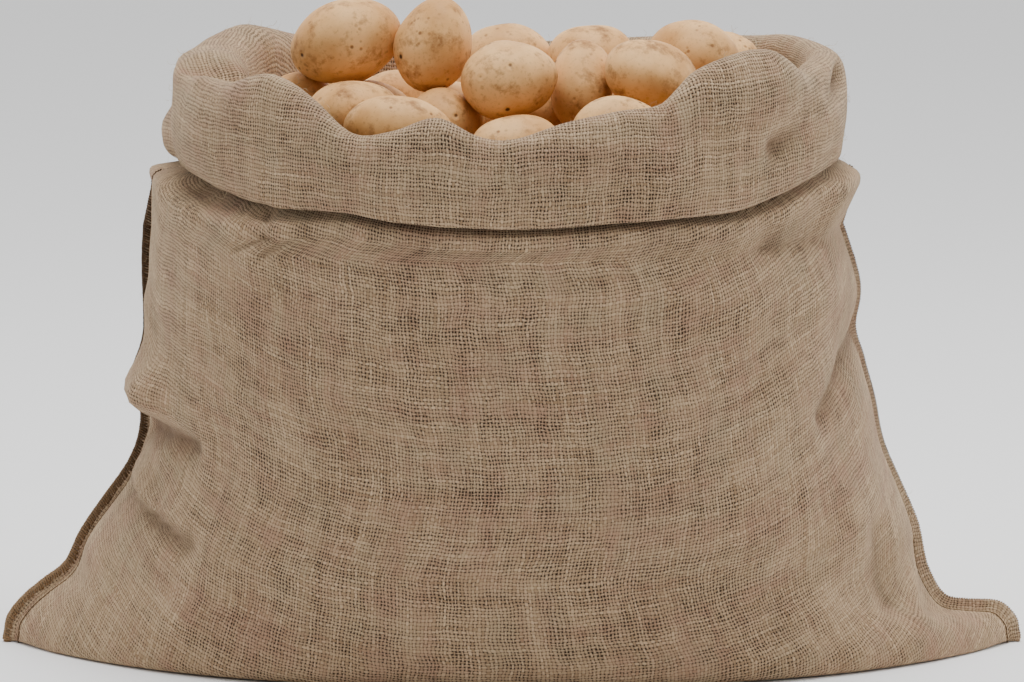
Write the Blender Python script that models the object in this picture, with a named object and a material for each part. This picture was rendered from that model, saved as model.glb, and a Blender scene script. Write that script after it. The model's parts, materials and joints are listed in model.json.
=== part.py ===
"""A hessian sack of potatoes standing on the floor with its mouth rolled outwards.

The sack is one piece of cloth: folded at the bottom, sewn up both sides with the seam
allowance turned out, its mouth rolled over into a puffy cuff. A lumpy filling stands for
the hidden potatoes, and those in the mouth are separate solids that rest on it.

Tables are in millimetres, everything else is in metres. The origin is on the floor, at
the middle of the bottom. +X is the sack's right side seen from the front, the front
faces -Y, and +Z is up.
"""
import math

import bmesh
import bpy
from mathutils import Euler, Vector
from mathutils.bvhtree import BVHTree

MM = 0.001

# Driving dimensions, metres
CLOTH = 0.0022          # thickness of the hessian
SEAM_THICKNESS = 0.0040  # two layers of allowance with the overlocking round them
SEAM_GAP = 0.0004       # least room between the front and back layers inside a seam
FLOOR_EPSILON = 1e-6    # the cloth lies flat on the floor up to this height
FLOOR_GAP = 0.0004      # between the filling and the cloth under it
WALL_GAP = 0.0050       # and the cloth round it, which hangs in folds
REST_GAP = 0.00035      # between a potato and what it rests on
TOP_OF_FILLING = 0.309  # height of the filling inside the mouth
LUMP_HEIGHT = 0.017     # and the potato-like lumps on top of it
MOUTH_MIDDLE = 0.006    # the mouth's middle and half sizes, inside the cuff
MOUTH_HALF_WIDTH = 0.170
MOUTH_HALF_DEPTH = 0.130
EAR_SHARE = 0.93        # the hollow ends this far along the rows that run into the ears
CUFF_LEFT = -0.2095     # outer face of the cuff at the two ends
CUFF_RIGHT = 0.2085
CUFF_DEPTH = 0.1490     # outer face of the cuff, front and back
CUFF_PLAN = {"square": 2.3, "blunt": 0.48}
SEAM_TURN = 1.7         # how late a row of the body turns from level to its seam
WAVE_HEIGHT = 0.0014    # the slight unevenness of cloth drawn over potatoes
RIPPLE_HEIGHT = 0.0006
FOLD_LOSS = 0.6         # share of a fold's height that is lost at a seam
FOLD_LOSS_POWER = 12    # how close to the seam that happens
CLEAR_OF_FLOOR = 0.030  # creases reach their full depth about this far above the floor
FLAT_SHARE = 0.1        # and have none up to this share of it
LUMP_PITCH = 0.060      # from lump to lump on the filling, and from row to row of them
LUMP_ROW_PITCH = 0.052
FILLING_SHOULDER = 6    # how steeply the filling's top rises inside the mouth
FIRST_FALL = 0.002      # a potato is let down in steps of this, halved until
LAST_FALL = 0.00006     # they are finer than this
LOWEST_POTATO = 0.2     # nor is one let down below this height
SLIDES = 12             # tries to move a potato to a lower place beside it

HESSIAN_COLOUR = (0.266, 0.181, 0.117, 1)
POTATO_COLOUR = (0.57, 0.36, 0.17, 1)
FILLING_COLOUR = (0.42, 0.27, 0.13, 1)

# Fineness of the cloth's grid
COLUMNS = 24            # spaces across the front, and across the back
BODY_STEPS = 2          # rows for each row of the body table
TOP_STEPS = 10          # spaces from front to back over the filling
END_COLUMNS = 3         # the filling stops this many spaces short of the seams
POTATO_SEGMENTS = 12    # faces round a potato, and from end to end
POTATO_RINGS = 7

# The body, from the bottom fold up. front: height at the middle of the row. depth_f and
# depth_b: how far the row stands out to the front and back. The seam's edge is given at
# each side. level: share of the row that stays level before it turns to the seam. square
# and blunt shape the row's plan; crowd draws its points towards the seams.
BODY_COLUMNS = ("front", "depth_f", "depth_b", "left_x", "left_z", "right_x", "right_z",
                "left_w", "right_w", "level", "square", "blunt", "crowd")
BODY = (
    (1.1, 0, 0, -325, 1.1, 325, 1.1, 7.0, 6.0, 0.95, 2.6, 0.86, 0.45),
    (1.1, 72, 68, -325, 3.0, 325, 3.0, 7.0, 6.0, 0.94, 2.6, 0.86, 0.45),
    (1.1, 127, 120, -324, 7.0, 324, 7.0, 7.0, 6.0, 0.92, 2.6, 0.86, 0.45),
    (5, 136, 129, -321.5, 17, 321.5, 16, 7.0, 6.0, 0.88, 2.6, 0.84, 0.50),
    (14, 141, 135, -312, 29, 311, 25.2, 7.0, 6.0, 0.80, 2.6, 0.80, 0.55),
    (30, 145, 140, -299, 40, 292, 26.5, 7.0, 6.0, 0.70, 2.5, 0.74, 0.60),
    (50, 149, 145, -284, 52, 276, 30, 7.0, 6.0, 0.55, 2.45, 0.68, 0.66),
    (72, 152, 149, -274, 71, 265, 48, 6.5, 6.0, 0.45, 2.4, 0.62, 0.72),
    (98, 154, 152, -257, 97, 259, 77, 6.0, 4.5, 0.35, 2.4, 0.56, 0.80),
    (126, 155, 154, -240, 122, 246, 105, 6.0, 3.0, 0.30, 2.35, 0.52, 0.88),
    (154, 155, 155, -234, 149, 235.5, 131, 6.0, 2.6, 0.30, 2.3, 0.49, 0.94),
    (180, 154, 155, -235, 175, 230, 158, 5.5, 2.6, 0.30, 2.3, 0.47, 1.0),
    (204, 153, 154, -233, 199, 223, 184, 5.0, 2.6, 0.30, 2.3, 0.46, 1.0),
    (226, 152, 153, -233, 223, 218, 207, 5.0, 2.6, 0.30, 2.3, 0.46, 1.0),
    (248, 150.5, 152, -233, 247, 219.5, 232, 5.0, 2.6, 0.30, 2.3, 0.46, 1.0),
    (268, 148.5, 150, -232, 270, 208.5, 271, 5.0, 2.6, 0.30, 2.3, 0.47, 1.0),
)

# The cuff, followed from the body's shoulder in under it, up inside, over the rim and down
# its outer face to the hidden hem. share: how far in from the outer face, as a share of the
# cuff's thickness. shoulder: share of the shoulder's reach. rise: share of the way from the
# cuff's lower edge to its rim. above: added to that.
CUFF_COLUMNS = ("share", "shoulder", "rise", "above")
CUFF = (
    (0.05, 1.0, 0.00, -14.0),
    (0.10, 0.95, 0.00, -6.5),
    (0.42, 0.75, 0.00, -2.5),
    (0.80, 0.0, 0.00, 5.0),
    (1.00, 0.0, 0.28, 0.0),
    (1.00, 0.0, 0.62, 0.0),
    (0.93, 0.0, 0.88, 0.0),
    (0.72, 0.0, 0.985, 0.0),
    (0.42, 0.0, 1.00, 0.0),
    (0.12, 0.0, 0.93, 0.0),
    (-0.04, 0.0, 0.76, 0.0),
    (-0.09, 0.0, 0.50, 0.0),
    (-0.06, 0.0, 0.24, 0.0),
    (0.00, 0.0, 0.06, 0.0),
    (0.12, 0.0, -0.01, 0.0),
    (0.26, 0.0, 0.03, 0.0),
    (0.31, 0.0, 0.18, 0.0),
)

# The cuff across the sack, from the left seam (-1) to the right (1): heights of its rim and
# of its lower edge, its thickness, how far the body's shoulder stands out below it, and the
# gap by which that shoulder is sunk below the cuff's edge.
RIM_COLUMNS = ("across", "rim_f", "rim_b", "low_f", "low_b", "thick_f", "thick_b", "shoulder",
               "gap")
RIM = (
    (-1.00, 380, 380, 311, 311, 44, 44, 19, 2),
    (-0.94, 369, 385, 307, 308, 43, 44, 17, 8),
    (-0.88, 366, 387, 304, 305, 40, 44, 14, 10),
    (-0.72, 373, 379, 299, 303, 26, 36, 6, 8),
    (-0.60, 362, 373, 298, 301, 21, 24, 2, 4),
    (-0.48, 343, 372, 297, 300, 20, 21, 1, 2),
    (-0.36, 345, 372, 293.5, 299, 19, 20, 0, 1),
    (-0.22, 354, 370, 291, 299, 19, 20, 0, 1),
    (-0.10, 343, 369, 290, 299, 18, 20, 0, 1),
    (0.00, 341, 369, 289.5, 299, 18, 20, 0, 1),
    (0.16, 351, 370, 290.5, 299, 19, 20, 0, 1),
    (0.32, 357.5, 372, 292.5, 300, 20, 20, 0, 1),
    (0.46, 361, 374, 294, 301, 21, 20, 0, 1),
    (0.56, 380, 376, 295, 302, 23, 21, 1, 2),
    (0.68, 388, 377, 297, 304, 24, 22, 1, 4),
    (0.80, 388, 379, 304, 308, 24, 23, 2, 5),
    (0.90, 374, 382, 311, 311, 24, 24, 5, 4),
    (1.00, 380, 380, 315, 315, 24, 24, 9, 3),
)

# Creases and swells of the cloth, each along a short line: its two ends, how far it
# spreads, and how far it moves the cloth out (or in, if negative).
FOLD_COLUMNS = ("x0", "y0", "z0", "x1", "y1", "z1", "spread", "out")
FOLDS = (
    (-233, -10, 172, -222, -46, 168, 17, 21),     # swell of the left side
    (-215, -62, 163, -200, -86, 154, 13, 5),
    (-228, -24, 222, -228, -24, 196, 14, 7),      # the cloth stands out before the seam
    (-229, -26, 146, -221, -42, 147, 11, -10),    # trough under that swell
    (-216, -56, 148, -200, -82, 144, 11, -7),
    (-230, -18, 134, -214, -64, 136, 11, 4),      # small swell below the trough
    (-238, -12, 119, -232, -48, 108, 12, 4),      # edge of the fold over the left ear
    (-226, -63, 103, -208, -92, 91, 12, 3),
    (-242, -26, 106, -232, -58, 97, 11, -4),      # crease under that edge
    (-224, -72, 92, -205, -96, 83, 11, -7),
    (-270, -10, 84, -250, -45, 40, 16, 5),        # swell on the left ear
    (-206, -55, 300, -196, -60, 296, 11, -6),     # hole under the cuff, left end
    (-210, -4, 316, -210, -2, 350, 6, -5),        # upright crease on the cuff's left end
    (-206, -20, 374, -206, 15, 374, 12, 6),       # the cuff's full left end, up at its rim
    (-214, 20, 308, -212, 30, 327, 15, 16),       # pouch behind that crease
    (210, -24, 291, 192, -64, 282, 11, -8),       # crease under the right pouch
    (182, -78, 279, 158, -103, 275, 11, -7),
    (220, -16, 302, 206, -56, 296, 13, 8),        # right pouch under the cuff
    (208, -26, 368, 160, -100, 334, 9, -9),       # slanting trough on the cuff, right
    (180, -90, 376, 150, -112, 366, 13, 4),       # swell over that trough
    (212, -60, 322, 212, 50, 322, 16, -4),        # and under its right end
    (215, -10, 202, 210, -48, 191, 11, -6),       # crease round the facet on the right
    (206, -62, 183, 196, -88, 162, 11, -5),
    (222, -40, 226, 206, -85, 150, 20, -4),       # flat facet on the right side
    (231, -66, 82, 236, -64, 42, 13, -6),         # valley down to the right ear
    (255, -30, 50, 256, -60, 22, 12, 4),          # ridge along the right ear
    (-60, -140, 20, 40, -140, 24, 26, 3),         # low swell along the foot
    (-214, 30, 240, -180, 90, 150, 22, -5),       # back, slack on the left
    (205, 50, 250, 150, 118, 180, 20, -5),        # back, slack on the right
    (-250, 30, 96, -190, 96, 70, 14, -6),         # back, crease to the left ear
    (238, 48, 90, 200, 92, 62, 14, -5),           # back, crease to the right ear
    (-40, 150, 210, 60, 152, 200, 34, 4),         # back, swell over the potatoes
)

# Dents and ridges on top of the roll, which move the cloth up or down.
DENTS = (
    (-190, -28, 376, -170, -36, 374, 12, -14),    # dip in the broad left end
    (-200, 42, 384, -176, 62, 388, 16, 2),        # the left end's back peak
    (-196, -58, 370, -152, -104, 372, 9, 6),      # its front lip
    (150, -105, 386, 176, -80, 390, 16, 2),       # front peak on the right
)

# The potatoes of the mouth: middle, length, width, height, then turn, tilt and roll in
# degrees. They are let down one by one, in this order, until each rests on the others.
POTATO_COLUMNS = ("x", "y", "z", "length", "width", "height", "turn", "tilt", "roll")
POTATOES = (
    (-71, -101, 340, 68, 46, 42, -6, 4, 0),
    (-1, -103, 331, 56, 46, 32, 12, 0, 20),
    (66, -99, 342, 60, 46, 44, 4, 0, 30),
    (118, -70, 342, 50, 43, 43, 55, 0, 0),
    (-98, -57, 342, 62, 46, 43, 20, -6, 0),
    (-41, -56, 342, 50, 44, 43, 60, 8, 0),
    (42, -32, 322, 38, 32, 22, 10, 0, 0),
    (-138, -5, 344, 58, 44, 45, 30, -42, 0),
    (-90, -8, 343, 54, 46, 50, -10, 5, 0),
    (-35, -8, 342, 50, 44, 46, 50, 0, 40),
    (10, 0, 340, 50, 44, 50, -65, 0, 0),
    (80, -9, 342, 54, 46, 48, 20, 0, 0),
    (136, -28, 342, 50, 42, 44, 70, 0, 0),
    (-127, 52, 340, 50, 42, 42, 70, 0, 0),
    (-78, 40, 343, 54, 46, 46, 25, 0, 0),
    (-28, 42, 335, 48, 42, 40, -35, 0, 0),
    (22, 46, 334, 46, 40, 38, 10, 0, 0),
    (90, 42, 338, 50, 42, 45, -50, 0, 0),
    (151, 18, 340, 44, 38, 38, 80, 0, 0),
    (-87, 90, 340, 56, 46, 44, 20, 0, 0),
    (-29, 94, 342, 56, 46, 46, -5, 0, 0),
    (29, 96, 342, 56, 46, 46, 0, 0, 0),
    (82, 95, 342, 50, 40, 42, -20, 0, 0),
    (134, 62, 336, 40, 34, 34, 20, 0, 0),
    (134, 58, 362, 50, 42, 42, 20, -8, 0),
    (-108, -16, 387, 70, 54, 52, 6, -20, 10),
    (-51, -36, 385, 61, 47, 48, 20, -72, 0),
    (-6, -57, 371, 60, 49, 50, 10, -8, 0),
    (42, -28, 364, 58, 40, 42, 80, -72, 0),
    (83, -50, 371, 62, 48, 48, 20, 22, 0),
    (-4, 55, 366, 60, 48, 46, -8, -4, 0),
    (54, 40, 368, 56, 46, 44, 12, 6, 0),
    (111, 15, 378, 60, 49, 46, -20, 14, 0),
)
DROP = 0.030            # each potato starts this far above its place in the table
SLIDE = 0.005           # and may slide this far sideways into a hollow
SLIDE_WAYS = 8          # the directions it tries
LEAST_DROP = 0.0003     # it slides only where that lets it down by more than this


def named_rows(columns, table):
    """The table's rows as dictionaries, one value to each column's name."""
    return [dict(zip(columns, row)) for row in table]


def curve_through(values, place):
    """A smooth curve through evenly spaced values, read at a place counted in rows."""
    last = len(values) - 1
    index = min(int(place), last - 1)
    share = place - index
    before = values[max(index - 1, 0)]
    start, end = values[index], values[index + 1]
    after = values[min(index + 2, last)]
    bend_in = (end - before) / 2
    bend_out = (after - start) / 2
    return (start * (2 * share**3 - 3 * share**2 + 1) + bend_in * (share**3 - 2 * share**2 + share)
            + end * (3 * share**2 - 2 * share**3) + bend_out * (share**3 - share**2))


def across_table(rows, column, across):
    """One column of the rim table, read smoothly at a share across the sack."""
    marks = [row["across"] for row in rows]
    index = max(i for i in range(len(marks) - 1) if marks[i] <= across or i == 0)
    share = min(max((across - marks[index]) / (marks[index + 1] - marks[index]), 0.0), 1.0)
    return curve_through([row[column] for row in rows], index + share)


BODY_ROWS = named_rows(BODY_COLUMNS, BODY)
CUFF_ROWS = named_rows(CUFF_COLUMNS, CUFF)
RIM_ROWS = named_rows(RIM_COLUMNS, RIM)
FOLD_ROWS = named_rows(FOLD_COLUMNS, FOLDS)
DENT_ROWS = named_rows(FOLD_COLUMNS, DENTS)
SIDES = {"front": -1, "back": 1}


def body_row(place):
    """The body table read at a place counted in rows, in millimetres."""
    return {name: curve_through([row[name] for row in BODY_ROWS], place) for name in BODY_COLUMNS}


def seam_root(place, end):
    """Where the cloth leaves the seam: the seam's edge moved in, square to its path."""
    row = body_row(place)
    low = body_row(max(place - 0.5, 0))
    high = body_row(min(place + 0.5, len(BODY_ROWS) - 1))
    path = Vector((high[end + "_x"] - low[end + "_x"], high[end + "_z"] - low[end + "_z"]))
    inward = Vector((path.y, -path.x)).normalized()
    if end == "right":
        inward = -inward
    root = Vector((row[end + "_x"], row[end + "_z"])) + inward * row[end + "_w"]
    return root.x, max(root.y, BODY_ROWS[0]["front"])


def spread_across(step, crowd):
    """Evenly spaced steps from -1 to 1, drawn towards the two ends."""
    return step * (1 - crowd) + math.sin(step * math.pi / 2) * crowd


def plan_depth(across, depth, square, blunt):
    """How far the plan of a row stands out at a share across it."""
    return depth * max(1 - abs(across) ** square, 0.0) ** blunt


def body_point(place, step, side):
    """A point of the body's cloth, halfway through its thickness, and the way out of it."""
    row = body_row(place)
    left_x, left_z = seam_root(place, "left")
    right_x, right_z = seam_root(place, "right")
    across = spread_across(step, row["crowd"])
    seam_half = SEAM_THICKNESS / 2 / MM if row["depth_f"] > 0 else 0.0
    depth = row["depth_f"] if side == "front" else row["depth_b"]
    stand_out = seam_half + plan_depth(across, max(depth - seam_half, 0), row["square"], row["blunt"])
    x = (left_x + right_x) / 2 + across * (right_x - left_x) / 2
    turn = max(abs(across) - row["level"], 0) / (1 - row["level"])
    end_z = left_z if across < 0 else right_z
    z = row["front"] + (end_z - row["front"]) * turn**SEAM_TURN
    half = (right_x - left_x) / 2
    return Vector((x, SIDES[side] * stand_out, z)) * MM, plan_normal(across, half, depth, row, side)


def plan_normal(across, half, depth, row, side):
    """The level direction out of a row's plan."""
    inner = max(1 - abs(across) ** row["square"], 1e-4)
    slope = depth * row["blunt"] * inner ** (row["blunt"] - 1) * row["square"]
    slope *= abs(across) ** (row["square"] - 1) * math.copysign(1, across)
    return Vector((slope, SIDES[side] * half, 0)).normalized()


def cuff_point(place, step, side):
    """A point of the cuff's cloth, halfway through its thickness, and the way out of it."""
    cuff = {name: curve_through([row[name] for row in CUFF_ROWS], place) for name in CUFF_COLUMNS}
    mark = "_f" if side == "front" else "_b"
    across = spread_across(step, 1.0)
    rim = across_table(RIM_ROWS, "rim" + mark, across)
    low = across_table(RIM_ROWS, "low" + mark, across)
    thick = across_table(RIM_ROWS, "thick" + mark, across)
    half = (CUFF_RIGHT - CUFF_LEFT) / 2 / MM
    seam_half = SEAM_THICKNESS / 2 / MM
    depth = CUFF_DEPTH / MM
    x = (CUFF_RIGHT + CUFF_LEFT) / 2 / MM + across * half
    stand_out = seam_half + plan_depth(across, depth - seam_half, **CUFF_PLAN)
    out = plan_normal(across, half, depth, CUFF_PLAN, side)
    if abs(step) == 1:
        out = Vector((math.copysign(1, step), 0, 0))
    shoulder = across_table(RIM_ROWS, "shoulder", across)
    inward = cuff["share"] * thick - cuff["shoulder"] * shoulder
    gap = across_table(RIM_ROWS, "gap", across)
    z = low + cuff["rise"] * (rim - low) + cuff["above"] - cuff["shoulder"] * gap
    point = Vector((x, SIDES[side] * stand_out, z)) - out * inward
    return point * MM, out


def distance_to_line(point, row):
    """Distance in metres from a point to a fold's line."""
    start = Vector((row["x0"], row["y0"], row["z0"])) * MM
    along = Vector((row["x1"], row["y1"], row["z1"])) * MM - start
    share = min(max((point - start).dot(along) / along.length_squared, 0), 1)
    return (point - start - along * share).length


def fold_height(point, rows):
    """How far all the folds together move the cloth at a point, in metres."""
    moves = (row["out"] * math.exp(-(distance_to_line(point, row) / (row["spread"] * MM)) ** 2)
             for row in rows)
    return sum(moves) * MM


def unevenness(point):
    """The slight lumps of cloth drawn over potatoes, in metres."""
    # the factors are radians to the metre: waves about 55 to 270 mm long
    wave_a = math.sin(point.x * 61 + point.z * 23 + 1.0) * math.cos(point.z * 67 - point.x * 19)
    wave_b = math.sin(point.x * 113 - point.z * 71 + point.y * 40)
    return WAVE_HEIGHT * wave_a + RIPPLE_HEIGHT * wave_b


def folded(point, out, step):
    """A point with the creases, swells and unevenness added, less of them at a seam."""
    near_seam = 1 - FOLD_LOSS * abs(step) ** FOLD_LOSS_POWER
    above_floor = min(max(point.z / CLEAR_OF_FLOOR - FLAT_SHARE, 0), 1)
    level = (fold_height(point, FOLD_ROWS) + unevenness(point)) * near_seam * above_floor
    moved = point + out * level
    moved.z += fold_height(point, DENT_ROWS) * above_floor
    moved.z = max(moved.z, CLOTH / 2)
    return moved


def row_places(rows, steps):
    """Places along a table, with a number of steps from one of its rows to the next."""
    return [i / steps for i in range((len(rows) - 1) * steps + 1)]


def cloth_row(maker, place, side, columns, reach):
    """One row of points of the cloth, as far towards the seams as its reach."""
    steps = [reach * (2 * i / columns - 1) for i in range(columns + 1)]
    return [folded(*maker(place, step, side), step) for step in steps]


def cloth_grid(side, columns, body_steps, cuff_steps, ear_share):
    """Rows of points of one side of the sack, from the bottom fold to the hem's end."""
    grid = []
    for place in row_places(BODY_ROWS, body_steps):
        # from row 5 to row 9 the ears end, and the hollow widens to the whole row
        reach = ear_share + (1 - ear_share) * min(max((place - 5) / 4, 0), 1)
        grid.append(cloth_row(body_point, place, side, columns, reach))
    for place in row_places(CUFF_ROWS, cuff_steps):
        grid.append(cloth_row(cuff_point, place, side, columns, 1.0))
    return grid


def grid_normals(grid, side):
    """The cloth's outward direction at each point of a grid."""
    normals = []
    for i, row in enumerate(grid):
        above = grid[min(i + 1, len(grid) - 1)]
        below = grid[max(i - 1, 0)]
        line = []
        for j in range(len(row)):
            right = row[min(j + 1, len(row) - 1)]
            left = row[max(j - 1, 0)]
            line.append((right - left).cross(above[j] - below[j]).normalized() * -SIDES[side])
        normals.append(line)
    return normals


def offset_grid(grid, normals, distance, side, least_y, floor):
    """A grid moved along its normals, kept above a floor and off the other side."""
    moved_rows = []
    for row, line in zip(grid, normals):
        moved_row = []
        for point, normal in zip(row, line):
            moved = point + normal * distance
            moved.y = SIDES[side] * max(moved.y * SIDES[side], least_y)
            on_floor = point.z <= CLOTH / 2 + FLOOR_EPSILON
            moved.z = floor if on_floor else max(moved.z, floor)
            moved_row.append(moved)
        moved_rows.append(moved_row)
    for moved in moved_rows[0]:
        moved.y = 0
        moved.z = floor
    return moved_rows


def seam_edges(outer_row, place):
    """The outer edge of the two seams beside a row: front and back points, left and right."""
    row = body_row(place)
    edges = []
    for end, root in (("left", outer_row[0]), ("right", outer_row[-1])):
        root_x, root_z = seam_root(place, end)
        reach = Vector((row[end + "_x"] - root_x, 0, max(row[end + "_z"], 0) - root_z)) * MM
        edge = root + reach
        edge.z = max(edge.z, 0)
        edges.append(edge)
    return edges


def wrap_rings(bm, rings, closed):
    """Faces between rings of points, joined into one skin."""
    made = [[bm.verts.new(point) for point in ring] for ring in rings]
    for low, high in zip(made, made[1:]):
        count = len(low) if closed else len(low) - 1
        for j in range(count):
            k = (j + 1) % len(low)
            bm.faces.new((low[j], low[k], high[k], high[j]))
    return made


def sack_rings(columns, body_steps, cuff_steps):
    """The rings of the sack's outer face from the bottom up, then its inner face down."""
    outer, inner, edges = {}, {}, {}
    for side in SIDES:
        grid = cloth_grid(side, columns, body_steps, cuff_steps, 1.0)
        outer[side] = offset_grid(grid, grid_normals(grid, side), CLOTH / 2, side, 0.0, 0.0)
        grid = cloth_grid(side, columns, body_steps, cuff_steps, EAR_SHARE)
        inner[side] = offset_grid(grid, grid_normals(grid, side), -CLOTH / 2, side, SEAM_GAP, CLOTH)
        edges[side] = [seam_edges(row, min(i / body_steps, len(BODY_ROWS) - 1))
                       for i, row in enumerate(outer[side])]
    body_count = (len(BODY_ROWS) - 1) * body_steps + 1
    rings = []
    for i in range(len(outer["front"])):
        front, back = outer["front"][i], outer["back"][i]
        if i < body_count:
            corner_points = seam_corners(edges, i)
        else:
            corner_points = {"right": [front[-1], back[-1]], "left": [back[0], front[0]]}
        rings.append(front + corner_points["right"] + back[::-1] + corner_points["left"])
    for i in reversed(range(len(inner["front"]))):
        front, back = inner["front"][i], inner["back"][i]
        right = [front[-1], back[-1]]
        left = [back[0], front[0]]
        rings.append(front + right + back[::-1] + left)
    return rings


def seam_corners(edges, i):
    """The square outer edge of both seams at one row, in the ring's order."""
    corners = {}
    for name, index, order in (("right", 1, ("front", "back")), ("left", 0, ("back", "front"))):
        middle = (edges["front"][i][index] + edges["back"][i][index]) / 2
        half = SEAM_THICKNESS / 2 if i > 0 else 0.0
        corners[name] = [Vector((middle.x, SIDES[side] * half, middle.z)) for side in order]
    return corners


def finish_mesh(bm, name, colour, roughness, collection):
    """Weld a skin, point it outwards and put it in the scene with its own material."""
    bmesh.ops.remove_doubles(bm, verts=bm.verts, dist=2e-6)
    bmesh.ops.dissolve_degenerate(bm, edges=bm.edges, dist=1e-7)
    bmesh.ops.triangulate(bm, faces=bm.faces)
    bmesh.ops.recalc_face_normals(bm, faces=bm.faces)
    mesh = bpy.data.meshes.new(name)
    bm.to_mesh(mesh)
    bm.free()
    mesh.shade_smooth()
    body = bpy.data.objects.new(name, mesh)
    material = bpy.data.materials.new(name + "_material")
    material.use_nodes = True
    shader = material.node_tree.nodes["Principled BSDF"]
    shader.inputs["Base Color"].default_value = colour
    shader.inputs["Roughness"].default_value = roughness
    material.diffuse_color = colour
    mesh.materials.append(material)
    collection.objects.link(body)
    return body


def make_sack(collection):
    """The whole sack, one closed skin: outer face, hem end and inner face."""
    bm = bmesh.new()
    wrap_rings(bm, sack_rings(COLUMNS, BODY_STEPS, 1), closed=True)
    return finish_mesh(bm, "sack", HESSIAN_COLOUR, 0.95, collection)


def lump(x, y):
    """Height of the filling's potato-like lumps above its top, in metres."""
    row = round(y / LUMP_ROW_PITCH)
    shift = 0.5 * (row % 2)
    column = round(x / LUMP_PITCH - shift)
    away_x = x / LUMP_PITCH - column - shift
    away_y = y / LUMP_ROW_PITCH - row
    return LUMP_HEIGHT * math.cos(math.pi * min(math.hypot(away_x, away_y), 0.5))


def make_filling(collection):
    """The hidden potatoes as one solid, a little inside the cloth, with a lumpy top."""
    walls = {}
    for side in SIDES:
        grid = cloth_grid(side, COLUMNS, 1, 1, EAR_SHARE)[:len(BODY_ROWS)]
        inset = -CLOTH / 2 - WALL_GAP
        inside = offset_grid(grid, grid_normals(grid, side), inset, side, SEAM_GAP, CLOTH + FLOOR_GAP)
        # the rows where the cloth turns up from the floor are left out, for a rounded foot
        rows = inside[1:2] + inside[4:]
        walls[side] = [row[END_COLUMNS:COLUMNS + 1 - END_COLUMNS] for row in rows]
    bm = bmesh.new()
    rings = [filling_ring(front, back) for front, back in zip(walls["front"], walls["back"])]
    made = wrap_rings(bm, rings, closed=True)
    cap_filling(bm, made[-1], walls["front"][-1], walls["back"][-1], True)
    cap_filling(bm, made[0], walls["front"][0], walls["back"][0], False)
    return finish_mesh(bm, "potato_fill", FILLING_COLOUR, 0.7, collection)


def filling_top(point):
    """Height of the filling over a point: its shoulders rise to a lumpy top in the mouth."""
    across = abs(point.x - MOUTH_MIDDLE) / MOUTH_HALF_WIDTH
    deep = abs(point.y) / MOUTH_HALF_DEPTH
    room = 1 - across**CUFF_PLAN["square"] - deep**CUFF_PLAN["square"]
    inside = min(max(room * FILLING_SHOULDER, 0), 1)
    return point.z + (TOP_OF_FILLING - point.z + lump(point.x, point.y)) * inside


def filling_ring(front, back):
    """One ring of the filling: front wall, right end, back wall, left end."""
    right = [front[-1].lerp(back[-1], k / TOP_STEPS) for k in range(1, TOP_STEPS)]
    left = [back[0].lerp(front[0], k / TOP_STEPS) for k in range(1, TOP_STEPS)]
    return list(front) + right + list(back[::-1]) + left


def cap_filling(bm, ring, front, back, lumpy):
    """Close the filling's top or bottom with a grid between its front and back walls."""
    across = len(front)
    deep = TOP_STEPS
    lines = [ring[:across]]
    for k in range(1, deep):
        left = ring[-k]
        right = ring[across + k - 1]
        middle = []
        for j in range(1, across - 1):
            point = front[j].lerp(back[j], k / deep)
            if lumpy:
                point.z = filling_top(point)
            middle.append(bm.verts.new(point))
        lines.append([left] + middle + [right])
    lines.append(ring[across + deep - 1:2 * across + deep - 1][::-1])
    for low, high in zip(lines, lines[1:]):
        for j in range(across - 1):
            bm.faces.new((low[j], low[j + 1], high[j + 1], high[j]))


def make_potato(name, row, collection):
    """One potato: a rounded, slightly lumpy solid, longer than it is wide."""
    bm = bmesh.new()
    bmesh.ops.create_uvsphere(bm, u_segments=POTATO_SEGMENTS, v_segments=POTATO_RINGS, radius=0.5)
    phase = row["x"] * 0.7 + row["y"] * 0.3
    turn = Euler([math.radians(row[key]) for key in ("roll", "tilt", "turn")]).to_matrix()
    size = Vector((row["length"], row["width"], row["height"])) * MM
    for vert in bm.verts:
        # the sphere's poles go to the potato's two ends
        long, wide, high = vert.co.z, vert.co.x, vert.co.y
        # a long slow swell and a shorter one keep it from being a plain egg
        blunt = 1 + 0.07 * math.sin(3.0 * long + phase) + 0.05 * math.sin(5 * wide + 4 * high + phase)
        shape = Vector((long * size.x, wide * size.y * blunt, high * size.z * blunt))
        vert.co = turn @ shape
    body = finish_mesh(bm, name, POTATO_COLOUR, 0.6, collection)
    body.location = Vector((row["x"], row["y"], row["z"])) * MM
    return body


class Heap:
    """What is already in place, and whether a potato would touch it."""

    def __init__(self, bodies):
        self.trees = [self.tree_of(body) for body in bodies]

    def tree_of(self, body):
        points = [body.location + vert.co for vert in body.data.vertices]
        return BVHTree.FromPolygons(points, [tuple(face.vertices) for face in body.data.polygons])

    def add(self, body):
        self.trees.append(self.tree_of(body))

    def touches(self, body, place):
        normals = [Vector(item.vector) for item in body.data.vertex_normals]
        points = [place + vert.co + normal * REST_GAP
                  for vert, normal in zip(body.data.vertices, normals)]
        moved = BVHTree.FromPolygons(points, [tuple(face.vertices) for face in body.data.polygons])
        return any(moved.overlap(tree) for tree in self.trees)


def lowered(heap, body, start):
    """The lowest place straight below the start at which the body touches nothing."""
    place = start.copy()
    step = FIRST_FALL
    while step > LAST_FALL:
        below = place - Vector((0, 0, step))
        if heap.touches(body, below) or below.z < LOWEST_POTATO:
            step /= 2
        else:
            place = below
    return place


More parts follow.
